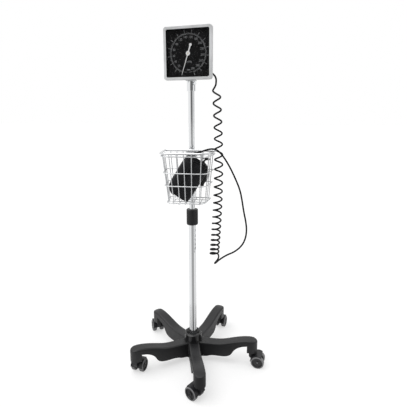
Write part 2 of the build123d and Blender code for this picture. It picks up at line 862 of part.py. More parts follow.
# Gauge sleeve on the pole
with BuildPart() as gauge_sleeve:
    with BuildSketch(Plane.XY.offset(sleeve_foot_z)):
        Circle(sleeve_r)
    extrude(amount=case_foot_z - sleeve_foot_z)
    fillet(gauge_sleeve.edges().group_by(Axis.Z)[0], radius=1)
    with BuildSketch(Plane.XY.offset(case_foot_z)):
        Circle(spigot_r)
    extrude(amount=case_wall + nut_height + 1)
    with BuildSketch(Plane.XY.offset(sleeve_foot_z)):
        Circle(upper_r + running_gap)
    extrude(amount=upper_top_z - sleeve_foot_z + free_gap, mode=Mode.SUBTRACT)
    with BuildSketch(Plane(origin=(0, 0, set_screw_z), z_dir=(cos(radians(set_screw_angle)), sin(radians(set_screw_angle)), 0))):
        Circle(set_screw_r + running_gap)
    extrude(amount=2 * sleeve_r, mode=Mode.SUBTRACT)
gauge_sleeve.part.label = "gauge_sleeve"
export_step(gauge_sleeve.part, "parts/gauge_sleeve.step")

with BuildPart() as sleeve_nut:
    with BuildSketch(Plane.XY.offset(case_foot_z + case_wall)):
        RegularPolygon(nut_r, 6)
        Circle(spigot_r, mode=Mode.SUBTRACT)
    extrude(amount=nut_height)
sleeve_nut.part.label = "sleeve_nut"
export_step(sleeve_nut.part, "parts/sleeve_nut.step")

screw_out = Vector(cos(radians(set_screw_angle)), sin(radians(set_screw_angle)), 0)
with BuildPart() as set_screw:
    with BuildSketch(Plane(origin=screw_out * (upper_r + free_gap) + Vector(0, 0, set_screw_z), z_dir=screw_out)):
        Circle(set_screw_r)
    extrude(amount=sleeve_r - upper_r + 2)
    with BuildSketch(Plane(origin=screw_out * (sleeve_r + 1) + Vector(0, 0, set_screw_z), z_dir=screw_out)):
        Circle(set_screw_head_r)
        with PolarLocations(set_screw_head_r, knob_ribs):
            Circle(knob_rib_r, mode=Mode.SUBTRACT)
    extrude(amount=set_screw_head)
set_screw.part.label = "set_screw"
export_step(set_screw.part, "parts/set_screw.step")

# Gauge housing, drawn from the front and built towards the viewer
face_plane = Plane(origin=(0, 0, gauge_z), x_dir=(1, 0, 0), z_dir=(0, -1, 0))
capsule_place = (capsule_x, -capsule_drop)

with BuildPart() as rear_case:
    with BuildSketch(face_plane.offset(-case_back_y)):
        RectangleRounded(2 * back_half, 2 * back_half, back_corner_r)
    with BuildSketch(face_plane.offset(-case_rim_back_y)):
        RectangleRounded(2 * shoulder_half, 2 * shoulder_half, case_corner_r)
    loft()
    fillet(rear_case.faces().sort_by(Axis.Y)[-1].edges(), radius=2)
    with BuildSketch(face_plane.offset(-case_rim_back_y)):
        RectangleRounded(2 * case_half, 2 * case_half, case_corner_r)
    extrude(amount=case_rim_back_y - case_front_y)
    with BuildSketch(Plane.XY.offset(case_foot_z)):
        with Locations((0, (case_back_y - foot_block_half) / 2)):
            RectangleRounded(2 * foot_block_half, case_back_y + foot_block_half, foot_block_corner_r)
    extrude(amount=case_draw + case_wall)
    with BuildSketch(face_plane.offset(-back_inner_y)):
        inner_half = back_half + case_slope * case_wall - case_wall
        RectangleRounded(2 * inner_half, 2 * inner_half, back_corner_r - case_wall)
    with BuildSketch(face_plane.offset(case_wall - case_rim_back_y)):
        inner_half = shoulder_half - case_wall
        RectangleRounded(2 * inner_half, 2 * inner_half, case_corner_r - case_wall)
    loft(mode=Mode.SUBTRACT)
    with BuildSketch(face_plane.offset(case_wall - case_rim_back_y)):
        RectangleRounded(2 * (case_half - case_wall), 2 * (case_half - case_wall), case_corner_r - case_wall)
    extrude(amount=case_rim_back_y - case_wall - case_front_y, mode=Mode.SUBTRACT)
    with BuildSketch(Plane.XY.offset(case_foot_z + case_wall)):
        with Locations((0, (case_back_y - foot_block_half) / 2)):
            RectangleRounded(
                2 * (foot_block_half - case_wall),
                case_back_y + foot_block_half - 2 * case_wall,
                foot_block_corner_r - case_wall,
            )
    extrude(amount=case_draw + case_wall, mode=Mode.SUBTRACT)
    with BuildSketch(Plane.XY.offset(case_foot_z)):
        Circle(spigot_r)
    extrude(amount=case_wall, mode=Mode.SUBTRACT)
    with BuildSketch(face_plane.offset(-case_back_y)):
        with Locations(capsule_place):
            Circle(port_r)
        with Locations(*post_places):
            Circle(post_screw_r + running_gap)
    extrude(amount=case_wall, mode=Mode.SUBTRACT)
rear_case.part.label = "rear_case"
export_step(rear_case.part, "parts/rear_case.step")

bezel_depth = case_front_y - bezel_front_y
with BuildPart() as gauge_bezel:
    with BuildSketch(face_plane.offset(-case_front_y)):
        RectangleRounded(2 * case_half, 2 * case_half, case_corner_r)
    extrude(amount=bezel_depth)
    chamfer(gauge_bezel.faces().sort_by(Axis.Y)[0].edges(), length=1.2)
    with BuildSketch(face_plane.offset(-case_front_y)):
        RectangleRounded(2 * window_half, 2 * window_half, window_corner_r)
    extrude(amount=bezel_depth, mode=Mode.SUBTRACT)
    with BuildSketch(face_plane.offset(-case_front_y)):
        RectangleRounded(2 * lens_half, 2 * lens_half, lens_corner_r)
    extrude(amount=bezel_depth - bezel_lip, mode=Mode.SUBTRACT)
gauge_bezel.part.label = "gauge_bezel"
export_step(gauge_bezel.part, "parts/gauge_bezel.step")

lens_front_y = bezel_front_y + bezel_lip
with BuildPart() as gauge_lens:
    with BuildSketch(face_plane.offset(-lens_front_y - lens_thick)):
        RectangleRounded(2 * lens_half, 2 * lens_half, lens_corner_r)
    extrude(amount=lens_thick)
gauge_lens.part.label = "gauge_lens"
export_step(gauge_lens.part, "parts/gauge_lens.step")

with BuildPart() as dial_plate:
    with BuildSketch(face_plane.offset(-dial_y - dial_thick)):
        RectangleRounded(2 * dial_half, 2 * dial_half, case_corner_r - case_wall - 1)
        Circle(dial_hole_r, mode=Mode.SUBTRACT)
    extrude(amount=dial_thick)
dial_plate.part.label = "dial_plate"
export_step(dial_plate.part, "parts/dial_plate.step")

# Movement posts stand on the case's back and carry both plates and the dial
dial_back_y = dial_y + dial_thick
with BuildPart() as movement_posts:
    with BuildSketch(face_plane.offset(-back_inner_y)):
        with Locations(*post_places):
            Circle(post_r)
    extrude(amount=back_inner_y - dial_back_y)
    with BuildSketch(face_plane.offset(-back_inner_y)):
        with Locations(*post_places):
            Circle(post_screw_r)
    extrude(amount=post_screw_depth, mode=Mode.SUBTRACT)
movement_posts.part.label = "movement_posts"
export_step(movement_posts.part, "parts/movement_posts.step")

with BuildPart() as case_screws:
    with BuildSketch(face_plane.offset(-case_back_y)):
        with Locations(*post_places):
            Circle(post_screw_r)
    extrude(amount=case_wall + post_screw_depth)
    with BuildSketch(face_plane.offset(-case_back_y - post_screw_head)):
        with Locations(*post_places):
            Circle(post_screw_head_r)
    extrude(amount=post_screw_head)
case_screws.part.label = "case_screws"
export_step(case_screws.part, "parts/case_screws.step")

# Gear train: the pinion turns with the pointer, the sector drives it
pinion_pitch_r = module * pinion_teeth / 2
sector_teeth = pinion_teeth * gear_ratio
sector_pitch_r = module * sector_teeth / 2
centre_distance = pinion_pitch_r + sector_pitch_r
sector_place = (-centre_distance * cos(radians(sector_angle)), -centre_distance * sin(radians(sector_angle)))
shaft_back_y = base_plate_y
shaft_front_y = top_plate_y - plate_thick


def tooth_half_angle(radius, teeth):
    """Half the angle that a thinned involute tooth takes up at a radius."""
    pitch_r = module * teeth / 2
    base_r = pitch_r * cos(radians(pressure_angle))
    at_pitch = radians(pressure_angle)
    at_radius = acos(min(1.0, base_r / radius))
    roll = (tan(at_pitch) - at_pitch) - (tan(at_radius) - at_radius)
    return pi / (2 * teeth) - backlash / (4 * pitch_r) + roll


def tooth_points(teeth, middle):
    """One tooth's outline, from its left foot over its tip to its right foot, as polar points."""
    pitch_r = module * teeth / 2
    base_r = pitch_r * cos(radians(pressure_angle))
    foot_r = pitch_r - dedendum * module
    tip_r = pitch_r + addendum * module
    flank = [max(foot_r, base_r) + (tip_r - max(foot_r, base_r)) * step / 4 for step in range(5)]
    radii = ([foot_r] if foot_r < base_r else []) + flank
    left = [(r, middle - tooth_half_angle(max(r, base_r), teeth)) for r in radii]
    right = [(r, middle + tooth_half_angle(max(r, base_r), teeth)) for r in reversed(radii)]
    return [(r * cos(a), r * sin(a)) for r, a in left + right]


with BuildPart() as movement_plates:
    for plate_y in (base_plate_y, top_plate_y):
        with BuildSketch(face_plane.offset(-plate_y)):
            RectangleRounded(2 * plate_half_x, 2 * plate_half_z, plate_corner_r)
            with Locations(*post_places):
                Circle(post_r, mode=Mode.SUBTRACT)
            with Locations((0, 0), sector_place):
                Circle(arbor_r + running_gap, mode=Mode.SUBTRACT)
        extrude(amount=plate_thick)
movement_plates.part.label = "movement_plates"
export_step(movement_plates.part, "parts/movement_plates.step")

pointer_back_y = dial_y - pointer_gap
pointer_front_y = pointer_back_y - pointer_thick
gear_back = face_plane.offset(-gear_y)

with BuildPart() as pinion_arbor:
    with BuildSketch(face_plane.offset(-shaft_back_y)):
        Circle(arbor_r)
    extrude(amount=shaft_back_y - pointer_front_y)
    with BuildSketch(face_plane.offset(-gear_y - -pinion_extra / 2 - pinion_extra)):
        outline = []
        for tooth in range(pinion_teeth):
            middle = radians(sector_angle - 180) + (tooth + 0.5) * 2 * pi / pinion_teeth
            outline += tooth_points(pinion_teeth, middle)
        with BuildLine():
            Polyline(*outline, close=True)
        make_face()
    extrude(amount=gear_thick + pinion_extra)
pinion_arbor.part.label = "pinion_arbor"
export_step(pinion_arbor.part, "parts/pinion_arbor.step")

tooth_step = 2 * pi / sector_teeth
sector_tip_r = sector_pitch_r + addendum * module
sector_foot_r = sector_pitch_r - dedendum * module
sector_start = radians(sector_angle) - (sector_teeth_after + 0.5) * tooth_step
sector_end = radians(sector_angle) + (sector_teeth_before + 0.5) * tooth_step
crank_angle = atan2(-capsule_drop - sector_place[1], capsule_x - sector_place[0])

with BuildPart() as sector_gear:
    with BuildSketch(Plane(origin=(sector_place[0], gear_y, gauge_z + sector_place[1]), x_dir=(1, 0, 0), z_dir=(0, -1, 0))):
        outline = [(sector_foot_r * cos(sector_start), sector_foot_r * sin(sector_start))]
        for tooth in range(-sector_teeth_after, sector_teeth_before + 1):
            outline += tooth_points(sector_teeth, radians(sector_angle) + tooth * tooth_step)
        outline.append((sector_foot_r * cos(sector_end), sector_foot_r * sin(sector_end)))
        inner_r = sector_foot_r - sector_rim
        outline.append((inner_r * cos(sector_end), inner_r * sin(sector_end)))
        middle_angle = (sector_start + sector_end) / 2
        for share in (0.75, 0.5, 0.25):
            a = sector_start + (sector_end - sector_start) * share
            outline.append((inner_r * cos(a), inner_r * sin(a)))
        outline.append((inner_r * cos(sector_start), inner_r * sin(sector_start)))
        with BuildLine():
            Polyline(*outline, close=True)
        make_face()
        Circle(sector_hub_r)
        with Locations(Location((inner_r / 2 * cos(middle_angle), inner_r / 2 * sin(middle_angle), 0), (0, 0, degrees(middle_angle)))):
            Rectangle(inner_r + 2, sector_arm)
    extrude(amount=gear_thick)
    with BuildSketch(Plane(origin=(sector_place[0], shaft_back_y + crank_thick + free_gap, gauge_z + sector_place[1]), x_dir=(1, 0, 0), z_dir=(0, -1, 0))):
        Circle(arbor_r)
    extrude(amount=shaft_back_y + crank_thick + free_gap - shaft_front_y)
    with BuildSketch(Plane(origin=(sector_place[0], shaft_back_y + crank_thick + free_gap, gauge_z + sector_place[1]), x_dir=(1, 0, 0), z_dir=(0, -1, 0))):
        with Locations(Location((crank_length / 2 * cos(crank_angle), crank_length / 2 * sin(crank_angle), 0), (0, 0, degrees(crank_angle)))):
            SlotOverall(crank_length + 2 * crank_half_width, 2 * crank_half_width)
    extrude(amount=crank_thick)
sector_gear.part.label = "sector_gear"
export_step(sector_gear.part, "parts/sector_gear.step")

with BuildPart() as pointer:
    with BuildSketch(face_plane.offset(-pointer_back_y)):
        Circle(pointer_hub_r)
        a = radians(zero_angle)
        along = Vector(cos(a), sin(a))
        across = Vector(-sin(a), cos(a))
        with BuildLine():
            Polyline(
                across * pointer_half,
                along * pointer_tip + across * 0.35,
                along * pointer_tip - across * 0.35,
                across * -pointer_half,
                along * -pointer_tail - across * pointer_tail_half,
                along * -pointer_tail + across * pointer_tail_half,
                close=True,
            )
        make_face()
        with Locations(along * -pointer_tail):
            Circle(pointer_dot_r)
        Circle(arbor_r, mode=Mode.SUBTRACT)
    extrude(amount=pointer_thick)
pointer.part.label = "pointer"
export_step(pointer.part, "parts/pointer.step")


def spiral_arcs(side):
    """Half circles of growing radius whose centres alternate, moved to one side of the strip's middle."""
    arcs = []
    for half in range(hairspring_halves):
        radius = hairspring_inner_r + half * hairspring_step / 2
        shift = 0 if half % 2 == 0 else hairspring_step / 2
        arcs.append(((shift, 0), radius + side * hairspring_half_width, 180.0 * (half % 2)))
    return arcs


with BuildPart() as hairspring:
    with BuildSketch(face_plane.offset(-hairspring_y)):
        with BuildLine() as strip:
            for centre, radius, start_angle in spiral_arcs(1) + spiral_arcs(-1):
                CenterArc(centre, radius, start_angle, 180)
            first = Vector(hairspring_inner_r, 0)
            last_r = hairspring_inner_r + (hairspring_halves - 1) * hairspring_step / 2
            last = Vector(-last_r if (hairspring_halves % 2) else last_r + hairspring_step / 2, 0)
            reach = Vector(hairspring_half_width, 0)
            Line(first - reach, first + reach)
            Line(last - reach, last + reach)
        make_face()
    extrude(amount=hairspring_height)
hairspring.part.label = "hairspring"
export_step(hairspring.part, "parts/hairspring.step")

# Pressure capsule: stacked shallow discs, with a boss in front and a neck to the port behind
with BuildPart() as capsule:
    for disc in range(capsule_discs):
        with BuildSketch(face_plane.offset(-capsule_back_y + disc * capsule_thick)):
            with Locations(capsule_place):
                Circle(capsule_r)
        extrude(amount=capsule_thick * 0.6)
        with BuildSketch(face_plane.offset(-capsule_back_y + (disc + 0.6) * capsule_thick)):
            with Locations(capsule_place):
                Circle(capsule_r - capsule_step_r)
        extrude(amount=capsule_thick * 0.4)
    capsule_front_y = capsule_back_y - capsule_discs * capsule_thick
    crank_back_y = shaft_back_y + crank_thick + free_gap
    with BuildSketch(face_plane.offset(-capsule_front_y)):
        with Locations(capsule_place):
            Circle(capsule_boss_r)
    extrude(amount=capsule_front_y - crank_back_y - free_gap)
    with BuildSketch(face_plane.offset(-back_inner_y)):
        with Locations(capsule_place):
            Circle(port_r + 3)
    extrude(amount=back_inner_y - capsule_back_y)
capsule.part.label = "capsule"
export_step(capsule.part, "parts/capsule.step")

port_way = Vector(0.8, 0, -0.6)
port_start = Vector(capsule_x, back_inner_y, gauge_z - capsule_drop)
port_corner = Vector(capsule_x, port_back_y, gauge_z - capsule_drop)
port_end = port_corner + port_way * port_reach
with BuildPart() as pressure_port:
    with BuildLine() as elbow:
        FilletPolyline(port_start, port_corner, port_end, radius=port_bend_r)
    with BuildSketch(Plane(origin=port_start, z_dir=(0, 1, 0))):
        Circle(port_r)
    sweep(path=elbow.line)
pressure_port.part.label = "pressure_port"
export_step(pressure_port.part, "parts/pressure_port.step")

# Tube: short stretch from the port, the coil, the long stretch over the rim, and the bulb's loop
right_way = Vector(cos(radians(view_turn)), sin(radians(view_turn)), 0)
near_way = Vector(sin(radians(view_turn)), -cos(radians(view_turn)), 0)


def coil_height(turns):
    return coil_top_z - coil_first_pitch * turns + coil_pitch_loss * turns**2 / 2


coil_foot_z = coil_height(coil_turns)


def coil_point(turns):
    z = coil_height(turns)
    share = (coil_top_z - z) / (coil_top_z - coil_foot_z)
    x = coil_top_x + (coil_foot_x - coil_top_x) * share + coil_bow * sin(pi * share)
    radius = coil_top_r + (coil_foot_r - coil_top_r) * share
    turn = 2 * pi * turns
    return Vector(x, coil_y, z) + right_way * (radius * cos(turn)) + near_way * (radius * sin(turn))


def coil_direction(turns):
    step = 0.001
    return (coil_point(turns + step) - coil_point(turns - step)).normalized()


def biarc(start, start_way, end, end_way):
    """Two arcs that join two places and directions smoothly."""
    span = end - start
    both = start_way + end_way
    spread = 2 * (1 - start_way.dot(end_way))
    reach = (-span.dot(both) + sqrt(span.dot(both) ** 2 + spread * span.dot(span))) / spread
    middle = (start + end + (start_way - end_way) * reach) * 0.5
    middle_way = (span - both * reach).normalized()
    TangentArc(start, middle, tangent=start_way)
    TangentArc(middle, end, tangent=middle_way)


coil_start = Vector(81, 20, 1056)
down = Vector(0, 0, -1)
lead = 2 * tube_r
half_turns = [0.5 * step for step in range(1, int(2 * coil_turns) + 1)]
coil_end = coil_point(coil_turns) + coil_direction(coil_turns) * lead

with BuildPart() as coil_tube:
    with BuildLine() as curls:
        Line(coil_start, coil_start + down * lead)
        place, way = coil_start + down * lead, down
        for turns in half_turns:
            biarc(place, way, coil_point(turns), coil_direction(turns))
            place, way = coil_point(turns), coil_direction(turns)
        Line(place, coil_end)
    with BuildSketch(Plane(origin=coil_start, z_dir=down)):
        Circle(tube_r)
    sweep(path=curls.line)
coil_tube.part.label = "coil_tube"
export_step(coil_tube.part, "parts/coil_tube.step")

coil_path = curls.wire()
samples = [coil_path @ (n / 3000) for n in range(3001)]
stride = int(3000 / coil_turns / 3)
self_gap = min(
    (samples[i] - samples[j]).length for i in range(0, 3001, 4) for j in range(i + stride, 3001, 4)
) - 2 * tube_r
print(f"coil: length {coil_path.length:.0f} mm, least gap to itself {self_gap:.1f} mm")
print(f"coil: volume {coil_tube.part.volume:.0f} against {pi * tube_r**2 * coil_path.length:.0f}")
print(f"coil: ends at {coil_end}, heading {coil_direction(coil_turns)}")
print(f"cuff: upper end {cuff_centre + cuff_long * (cuff_length / 2)}, along {cuff_long}, normal {cuff_normal}")

gauge_route = [port_end, port_end + port_way * 12, Vector(81, 20, 1066), coil_start]

coil_out = coil_direction(coil_turns)
rim_foot, rim_way = connector_places[0]
rim_foot += rim_way * (connector_depth + connector_stand)
rim_route = [coil_end, coil_end + coil_out * 11]
rim_route += [
    Vector(96.6, -3.5, 429.0),
    Vector(89.0, -13.5, 421.0),
    Vector(93.0, -23.5, 423.5),
    Vector(105.0, -26.0, 437.0),
    Vector(121.0, -22.6, 450.0),
    Vector(139.0, -18.5, 461.5),
    Vector(159.4, -12.6, 470.3),
    Vector(181.7, -3.8, 488.2),
    Vector(195.9, 2.3, 513.2),
    Vector(201.2, 3.3, 545.9),
    Vector(198.0, 2.2, 580.3),
    Vector(189.0, -1.4, 621.7),
    Vector(182.6, -3.2, 662.2),
    Vector(175.2, -5.4, 696.8),
    Vector(161.2, -9.4, 732.0),
    Vector(140.7, -15.3, 776.0),
    Vector(121.9, -22.8, 808.4),
    Vector(106.5, -29.0, 829.0),
    Vector(91.0, -38.0, 838.5),
    Vector(75.5, -52.0, 838.0),
    Vector(61.0, -71.0, 833.0),
    Vector(50.0, -88.0, 829.5),
]
rim_route += [rim_foot + rim_way * 13, rim_foot]

bulb_foot, bulb_way = connector_places[1]
bulb_foot += bulb_way * (connector_depth + connector_stand)
bulb_port = in_basket(bulb_x + valve_r + valve_port_length, bulb_y, valve_port_z)
bulb_route = [bulb_port, bulb_port + basket_plane.x_dir * 12.5]
bulb_route += [in_basket(72.5, -61.0, 804.0), in_basket(72.5, -77.0, 805.5), in_basket(69.5, -92.0, 808.0)]
bulb_route += [bulb_foot + bulb_way * 12, bulb_foot]

for name, route in (("gauge_tube", gauge_route), ("rim_tube", rim_route), ("bulb_tube", bulb_route)):
    with BuildPart() as free_tube:
        add(bent_tube(route, tube_r))
    free_tube.part.label = name
    export_step(free_tube.part, f"parts/{name}.step")
    report_tube(name, route, free_tube.part)
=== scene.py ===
import json
from math import cos, pi, radians, sin, sqrt

import bpy
from mathutils import Matrix, Vector, noise as value_noise


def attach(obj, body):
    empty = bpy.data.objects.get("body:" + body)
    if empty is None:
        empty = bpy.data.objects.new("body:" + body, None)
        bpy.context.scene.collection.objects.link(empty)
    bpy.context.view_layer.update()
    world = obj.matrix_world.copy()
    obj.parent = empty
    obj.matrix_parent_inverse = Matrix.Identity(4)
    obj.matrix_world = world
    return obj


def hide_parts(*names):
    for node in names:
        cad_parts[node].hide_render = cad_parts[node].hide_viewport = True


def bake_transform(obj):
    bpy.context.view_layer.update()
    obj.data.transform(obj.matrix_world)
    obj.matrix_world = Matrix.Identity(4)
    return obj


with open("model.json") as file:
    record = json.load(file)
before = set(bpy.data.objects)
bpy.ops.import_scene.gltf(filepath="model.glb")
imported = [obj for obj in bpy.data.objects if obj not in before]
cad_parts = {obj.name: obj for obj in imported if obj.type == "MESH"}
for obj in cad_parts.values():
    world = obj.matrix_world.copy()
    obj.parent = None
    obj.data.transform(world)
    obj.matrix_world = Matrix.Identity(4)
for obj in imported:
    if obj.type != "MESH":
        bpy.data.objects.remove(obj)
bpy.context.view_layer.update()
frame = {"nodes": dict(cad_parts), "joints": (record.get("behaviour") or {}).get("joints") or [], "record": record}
nodes = frame["nodes"]


# Camera, at the photograph's place and angle
camera_turn = 16.14
camera_dip = 13.53
camera_data = bpy.data.cameras.new("camera")
camera_data.lens = 31.84
camera_data.sensor_width = 36.0
camera_data.clip_end = 50
camera = bpy.data.objects.new("camera", camera_data)
camera.location = (0.3925, -1.2087, 0.942)
camera.rotation_euler = (radians(90 - camera_dip), 0, radians(camera_turn))
bpy.context.scene.collection.objects.link(camera)
bpy.context.scene.camera = camera
bpy.context.scene.view_settings.view_transform = "Standard"


# Materials
def new_material(name):
    material = bpy.data.materials.new(name)
    material.use_nodes = True
    return material, material.node_tree, material.node_tree.nodes["Principled BSDF"]


def link(tree, source, target):
    tree.links.new(source, target)


def noise(tree, scale, detail=4.0, stretch=(1, 1, 1)):
    """Noise in the object's own metres, so its grain has a real size."""
    coords = tree.nodes.new("ShaderNodeTexCoord")
    mapping = tree.nodes.new("ShaderNodeMapping")
    mapping.inputs["Scale"].default_value = stretch
    texture = tree.nodes.new("ShaderNodeTexNoise")
    texture.inputs["Scale"].default_value = scale
    texture.inputs["Detail"].default_value = detail
    link(tree, coords.outputs["Object"], mapping.inputs["Vector"])
    link(tree, mapping.outputs["Vector"], texture.inputs["Vector"])
    return texture.outputs["Fac"]


def ramp(tree, value, stops):
    """Colour ramp over a value: stops are (position, colour)."""
    node = tree.nodes.new("ShaderNodeValToRGB")
    elements = node.color_ramp.elements
    while len(elements) < len(stops):
        elements.new(0.5)
    for element, (position, colour) in zip(elements, stops):
        element.position = position
        element.color = (*colour, 1)
    link(tree, value, node.inputs["Fac"])
    return node.outputs["Color"]


def spread(tree, value, low, high):
    node = tree.nodes.new("ShaderNodeMapRange")
    node.inputs["To Min"].default_value = low
    node.inputs["To Max"].default_value = high
    link(tree, value, node.inputs["Value"])
    return node.outputs["Result"]


def bump(tree, shader, height, distance, strength=0.6):
    node = tree.nodes.new("ShaderNodeBump")
    node.inputs["Strength"].default_value = strength
    node.inputs["Distance"].default_value = distance
    link(tree, height, node.inputs["Height"])
    link(tree, node.outputs["Normal"], shader.inputs["Normal"])


def shade(colour, amount):
    return tuple(min(1, c * amount) for c in colour)


def moulded(name, colour, rough, grain=900, depth=0.00006, coat=0.0, wear=0.0, gloss=0.5):
    """Moulded plastic: fine grain, slightly uneven gloss and, where asked, scuffs from handling."""
    material, tree, shader = new_material(name)
    patches = noise(tree, scale=18)
    tones = ramp(tree, patches, [(0.35, shade(colour, 0.88)), (0.65, shade(colour, 1.15))])
    link(tree, tones, shader.inputs["Base Color"])
    scuffs = noise(tree, scale=60, detail=8, stretch=(1, 1, 6))
    link(tree, spread(tree, scuffs, low=rough - 0.07 - wear, high=rough + 0.09), shader.inputs["Roughness"])
    bump(tree, shader, noise(tree, grain, detail=3), depth)
    shader.inputs["Specular IOR Level"].default_value = gloss
    shader.inputs["Coat Weight"].default_value = coat
    shader.inputs["Coat Roughness"].default_value = 0.12
    return material


def metal(name, colour, rough, stretch=(1, 1, 1), grain=240, depth=0.000008):
    """Metal with faint patches, drawn out along the piece where a stretch is given."""
    material, tree, shader = new_material(name)
    patches = noise(tree, scale=9, detail=5, stretch=stretch)
    tones = ramp(tree, patches, [(0.3, shade(colour, 0.93)), (0.7, shade(colour, 1.04))])
    link(tree, tones, shader.inputs["Base Color"])
    smears = noise(tree, scale=30, detail=6, stretch=stretch)
    link(tree, spread(tree, smears, low=rough * 0.7, high=rough * 1.5), shader.inputs["Roughness"])
    bump(tree, shader, noise(tree, grain, detail=3, stretch=stretch), depth)
    shader.inputs["Metallic"].default_value = 1.0
    return material


def rubber(name, colour, rough, grain=1500, depth=0.000006):
    """Rubber or thread: matt and finely grained, with a little dust."""
    material, tree, shader = new_material(name)
    dust = noise(tree, scale=25, detail=6)
    link(tree, ramp(tree, dust, [(0.4, colour), (0.75, shade(colour, 1.6))]), shader.inputs["Base Color"])
    link(tree, spread(tree, dust, low=rough, high=rough + 0.15), shader.inputs["Roughness"])
    bump(tree, shader, noise(tree, grain, detail=2), depth)
    shader.inputs["Specular IOR Level"].default_value = 0.2
    return material


# Metres from crest to crest of Blender's wave texture at a scale of 1
wave_length = 0.314
# The cloth's threads run about along and across the leaning cuff, in degrees
thread_angles = (27, 117)


def weave(name, colour, thread=0.0009):
    """Plain-woven nylon: crossing threads, each rounded, with painted shade in the hollows between them, a painted
    highlight on their crowns, and a low sheen.
    """
    material, tree, shader = new_material(name)
    coords = tree.nodes.new("ShaderNodeTexCoord")
    heights = []
    for angle in thread_angles:
        turn = tree.nodes.new("ShaderNodeMapping")
        turn.inputs["Rotation"].default_value = (radians(90), 0, 0)
        spin = tree.nodes.new("ShaderNodeMapping")
        spin.inputs["Rotation"].default_value = (0, 0, radians(angle))
        wave = tree.nodes.new("ShaderNodeTexWave")
        wave.inputs["Scale"].default_value = wave_length / thread
        wave.inputs["Distortion"].default_value = 0.6
        link(tree, coords.outputs["Object"], turn.inputs["Vector"])
        link(tree, turn.outputs["Vector"], spin.inputs["Vector"])
        link(tree, spin.outputs["Vector"], wave.inputs["Vector"])
        heights.append(wave.outputs["Fac"])
    cross = tree.nodes.new("ShaderNodeMath")
    cross.operation = "MULTIPLY"
    link(tree, heights[0], cross.inputs[0])
    link(tree, heights[1], cross.inputs[1])
    # Painted shade and highlight: colour follows the threads' height, darker in the hollows between threads and
    # lighter on their crowns
    tone = ramp(tree, cross.outputs["Value"], [(0.0, shade(colour, 0.55)), (1.0, shade(colour, 1.5))])
    patches = ramp(tree, noise(tree, scale=14), [(0.3, (0.75, 0.75, 0.76)), (0.7, (1.1, 1.1, 1.12))])
    mix = tree.nodes.new("ShaderNodeMix")
    mix.data_type = "RGBA"
    mix.blend_type = "MULTIPLY"
    mix.inputs["Factor"].default_value = 1
    # Several of this node's sockets share a name, so the colour ones go by number
    first_colour, second_colour, mixed_colour = mix.inputs[6], mix.inputs[7], mix.outputs[2]
    link(tree, tone, first_colour)
    link(tree, patches, second_colour)
    link(tree, mixed_colour, shader.inputs["Base Color"])
    bump(tree, shader, cross.outputs["Value"], distance=0.0002, strength=0.7)
    shader.inputs["Roughness"].default_value = 0.8
    shader.inputs["Specular IOR Level"].default_value = 0.2
    shader.inputs["Sheen Weight"].default_value = 0.4
    shader.inputs["Sheen Roughness"].default_value = 0.3
    return material


wheel_r = 0.025
hub_black = (0.02, 0.02, 0.022)
# The groove's ring is painted near-black, darker than the hub: painted shade in the groove
groove_painted_shade = (0.006, 0.006, 0.006)
tread_grey = (0.21, 0.21, 0.215)


def wheel_material(name, centre, axis):
    """Black hub and a grey tread with a groove between, the groove painted darker than the hub as painted shade,
    told apart by the distance from the axle.
    """
    material, tree, shader = new_material(name)
    coords = tree.nodes.new("ShaderNodeTexCoord")
    arm = tree.nodes.new("ShaderNodeVectorMath")
    arm.operation = "SUBTRACT"
    arm.inputs[1].default_value = centre
    link(tree, coords.outputs["Object"], arm.inputs[0])
    turned = tree.nodes.new("ShaderNodeVectorMath")
    turned.operation = "CROSS_PRODUCT"
    turned.inputs[1].default_value = axis
    link(tree, arm.outputs["Vector"], turned.inputs[0])
    reach = tree.nodes.new("ShaderNodeVectorMath")
    reach.operation = "LENGTH"
    link(tree, turned.outputs["Vector"], reach.inputs[0])
    share = tree.nodes.new("ShaderNodeMapRange")
    share.inputs["From Max"].default_value = wheel_r
    link(tree, reach.outputs["Value"], share.inputs["Value"])
    stops = [
        (0.0, hub_black),
        (0.74, hub_black),
        (0.76, groove_painted_shade),
        (0.79, groove_painted_shade),
        (0.81, tread_grey),
        (1.0, shade(tread_grey, 1.15)),
    ]
    link(tree, ramp(tree, share.outputs["Result"], stops), shader.inputs["Base Color"])
    rough = ramp(tree, share.outputs["Result"], [(0.0, (0.3,) * 3), (0.78, (0.3,) * 3), (0.82, (0.62,) * 3)])
    link(tree, rough, shader.inputs["Roughness"])
    bump(tree, shader, noise(tree, scale=1100, detail=3), distance=0.00005)
    return material


def glass(name):
    """Thin clear window: nearly see-through, with a faint gloss and light dust."""
    material, tree, shader = new_material(name)
    dust = noise(tree, scale=45, detail=6)
    link(tree, spread(tree, dust, low=0.04, high=0.12), shader.inputs["Roughness"])
    link(tree, spread(tree, dust, low=0.012, high=0.024), shader.inputs["Alpha"])
    shader.inputs["Base Color"].default_value = (0.03, 0.03, 0.03, 1)
    return material


